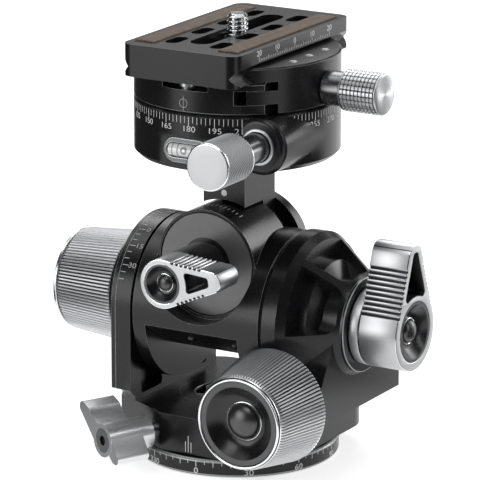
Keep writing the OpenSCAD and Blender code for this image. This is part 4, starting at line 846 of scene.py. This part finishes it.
# upper disc: a tick every 2.5 degrees and a figure every 15, 180 near the front and none under the lug
DISC_DIAL_ZERO, DISC_TICK_TOP, LUG_FROM, LUG_TO = 3.2 - 180, 106.4, 33.6, 62
ink = Ink()
for step in range(144):
    d = 2.5 * step
    phi = DISC_DIAL_ZERO + d
    if LUG_FROM < phi < LUG_TO:
        continue
    put = around(PAN_AXIS, DIAL_R, FRONT_ANGLE + math.radians(phi))
    if d % 15 == 0:
        ink.tick(put, 0.18, 103.9, DISC_TICK_TOP)
        ink.text(put, str(int(d)), 2.4, 0, 102.8, -0.025)
    else:
        ink.tick(put, 0.14, 104.6 if d % 5 else 104.3, DISC_TICK_TOP)
ink.done("disc_dial", WHITE, "roll_head")

# index of the clamp: a line through a ring
ink = Ink()
put = around(PAN_AXIS, DIAL_R, FRONT_ANGLE)
ink.tick(put, 0.14, 108.0, 112.4)
ink.ring(put, 0, 110.2, 1.25, 0.14)
ink.done("clamp_index", DIM_WHITE, "clamp")

# index of the base: a long line between two short ones
ink = Ink()
put = flat(frame_at((0, BLOCK_FRONT_Y, 0), FORWARD, RIGHT))
ink.tick(put, 0.22, 5.9, 10.8)
ink.bar(put, -1.04, -0.84, 5.9, 9.0)
ink.bar(put, 0.84, 1.04, 5.9, 9.0)
ink.done("base_index", WHITE, "yoke")

# white dot on the post, which points to the barrel's scale
ink = Ink()
ink.dot(flat(frame_at((0, POST_FRONT_Y, 79.0), FORWARD, RIGHT)), 0.95)
ink.done("roll_index", DOT, "roll_head")

# scale on top of the barrel, every 5 degrees
ink = Ink()
for d in range(-30, 31, 5):
    put = around(BARREL_AXIS, BARREL_R, math.radians(-90 + d))
    ink.tick(put, 0.2, -12.6, -11.2 if d % 10 else -10.8)
ink.done("roll_scale", WHITE, "tilt_head")

# scale on the rim of the left cover, read from the front
TILT_SCALE_ZERO = -62
ink = Ink()
for d in range(-40, 41, 5):
    put = around(TILT_AXIS, COVER_R, math.radians(TILT_SCALE_ZERO - d))
    ink.tick(put, 0.24, -26.7, -25.1 if d % 15 else -24.6)
    if d % 15 == 0:
        ink.text(put, str(abs(d)), 2.2, 0, -23.4, turn=math.pi / 2)
ink.done("tilt_scale", DIM_WHITE, "yoke")

# millimetre scale on the plate's right side
ink = Ink()
put = flat(frame_at((PLATE_RIGHT_X, 0, 122.2), RIGHT, BACKWARD))
for d in range(-20, 21):
    tall = 1.9 if d % 10 == 0 else (1.4 if d % 5 == 0 else 0.9)
    ink.bar(put, d - 0.1, d + 0.1, 0.2, 0.2 + tall * 0.8)
    if d % 10 == 0:
        ink.text(put, str(abs(d)), 2.3, d, 2.55, 0.01)
ink.done("plate_scale", WHITE, "quick_plate")


# ---------------------------------------------------------------- stage, light
FLOOR_HALF_M = 4
FLOOR_Z_M = -0.0002  # a little under the base, so that the two don't share a plane
FLOOR_LIFT = 0.62
WORLD_LIGHT = 0.35
ROOM_R_M = 2.2
ROOM_LIFT_M = 0.05
FLOOR_SHEET_R_M, FLOOR_SHEET_Z_M = 2.3, 0.001
LAMP_DISTANCE_M = 0.9
SHEET_STEPS = 24


def seen_directly(nt):
    """1 for camera, glossy and transmission rays, 0 for the light that falls on things."""
    lp = nt.nodes.new("ShaderNodeLightPath")
    a = nt.nodes.new("ShaderNodeMath")
    a.operation = "MAXIMUM"
    b = nt.nodes.new("ShaderNodeMath")
    b.operation = "MAXIMUM"
    nt.links.new(lp.outputs["Is Camera Ray"], a.inputs[0])
    nt.links.new(lp.outputs["Is Glossy Ray"], a.inputs[1])
    nt.links.new(a.outputs["Value"], b.inputs[0])
    nt.links.new(lp.outputs["Is Transmission Ray"], b.inputs[1])
    return b.outputs["Value"]


def matt(name, grey, rough):
    """A plain grey for the stage."""
    m = bpy.data.materials.new(name)
    m.use_nodes = True
    b = m.node_tree.nodes["Principled BSDF"]
    b.inputs["Base Color"].default_value = (grey, grey, grey, 1)
    b.inputs["Roughness"].default_value = rough
    return m


def floor_material():
    """Matt white that shows the object's shadow, lifted to white where it is seen."""
    m = matt("floor", 0.85, 0.9)
    nt = m.node_tree
    b = nt.nodes["Principled BSDF"]
    b.inputs["Specular IOR Level"].default_value = 0.1
    em = nt.nodes.new("ShaderNodeEmission")
    mul = nt.nodes.new("ShaderNodeMath")
    mul.operation = "MULTIPLY"
    mul.inputs[1].default_value = FLOOR_LIFT
    nt.links.new(seen_directly(nt), mul.inputs[0])
    nt.links.new(mul.outputs["Value"], em.inputs["Strength"])
    add = nt.nodes.new("ShaderNodeAddShader")
    nt.links.new(b.outputs["BSDF"], add.inputs[0])
    nt.links.new(em.outputs["Emission"], add.inputs[1])
    nt.links.new(add.outputs["Shader"], nt.nodes["Material Output"].inputs["Surface"])
    return m


def plain_object(name, verts, faces, mat):
    """A mesh of the stage from points in metres."""
    me = bpy.data.meshes.new(name)
    me.from_pydata(verts, [], faces)
    me.materials.append(mat)
    ob = bpy.data.objects.new(name, me)
    SCENE.collection.objects.link(ob)
    return ob


corners = [(x * FLOOR_HALF_M, y * FLOOR_HALF_M, 0) for x, y in ((-1, -1), (1, -1), (1, 1), (-1, 1))]
floor = plain_object("floor", corners, [(0, 1, 2, 3)], floor_material())
floor.location.z = FLOOR_Z_M

world = bpy.data.worlds.new("studio")
SCENE.world = world
world.use_nodes = True
wn = world.node_tree
bg = wn.nodes["Background"]
mr = wn.nodes.new("ShaderNodeMapRange")
mr.inputs["To Min"].default_value = WORLD_LIGHT
mr.inputs["To Max"].default_value = 1.0
wn.links.new(seen_directly(wn), mr.inputs["Value"])
bg.inputs["Color"].default_value = (1, 1, 1, 1)
wn.links.new(mr.outputs["Result"], bg.inputs["Strength"])

DARK = matt("dark_room", 0.02, 0.9)


def dark_sheet(name, az0, az1, rows):
    """A curved dark sheet round the object between two azimuths in degrees, through rows of (radius, height) in
    metres. Only the metal's reflections see it."""
    verts, faces = [], []
    n = len(rows)
    for i in range(SHEET_STEPS + 1):
        az = math.radians(az0 + (az1 - az0) * i / SHEET_STEPS)
        verts += [(r * math.sin(az), -r * math.cos(az), z) for r, z in rows]
    for i in range(SHEET_STEPS):
        for k in range(i * n, i * n + n - 1):
            faces.append((k, k + 1, k + n + 1, k + n))
    ob = plain_object(name, verts, faces, DARK)
    ob.visible_camera = False
    ob.visible_diffuse = False
    ob.visible_shadow = False


# the dark room that the metal mirrors, with gaps where the photo's metal mirrors white
for name, az0, az1, el0, el1 in (("room_left", -130, -44, -2, 50), ("room_right", -18, 125, -2, 62),
                                 ("room_top", -44, -18, 28, 62), ("room_back", -180, -136, 2, 16),
                                 ("room_far", 140, 180, 22, 46)):
    els = [math.radians(el0 + (el1 - el0) * k / 8) for k in range(9)]
    dark_sheet(name, az0, az1, [(ROOM_R_M * math.cos(e), ROOM_R_M * math.sin(e) + ROOM_LIFT_M) for e in els])
# and dark sheets on the floor, between the white gaps
for name, az0, az1, near in (("flag_left", -130, -44, 0.10), ("flag_middle", -18, 58, 0.22),
                             ("flag_right", 84, 138, 0.10)):
    dark_sheet(name, az0, az1, [(near, FLOOR_SHEET_Z_M), (FLOOR_SHEET_R_M, FLOOR_SHEET_Z_M)])


def area(name, az, el, size, size_y, power):
    """A soft box that looks at the object from an azimuth and elevation in degrees, its sides in metres."""
    li = bpy.data.lights.new(name, "AREA")
    li.shape = "RECTANGLE"
    li.size = size
    li.size_y = size_y
    li.energy = power
    ob = bpy.data.objects.new(name, li)
    SCENE.collection.objects.link(ob)
    centre = Vector((0, 0, ROLL_Z * MM))
    ob.location = centre + from_angles(az, el, LAMP_DISTANCE_M)
    ob.rotation_euler = (centre - ob.location).to_track_quat("-Z", "Y").to_euler()


area("key", -27, 8, 0.50, 0.50, 1.9)
area("front_top", 3, 50, 0.40, 0.40, 1.6)
area("strip_left", -85, 55, 0.3, 0.5, 0.7)
area("strip_right", CAMERA_AZ + 62, 25, 0.16, 0.7, 1.2)
area("back_right", 150, 18, 0.30, 0.60, 2.4)
area("top", -147, 48, 0.50, 0.40, 2.2)
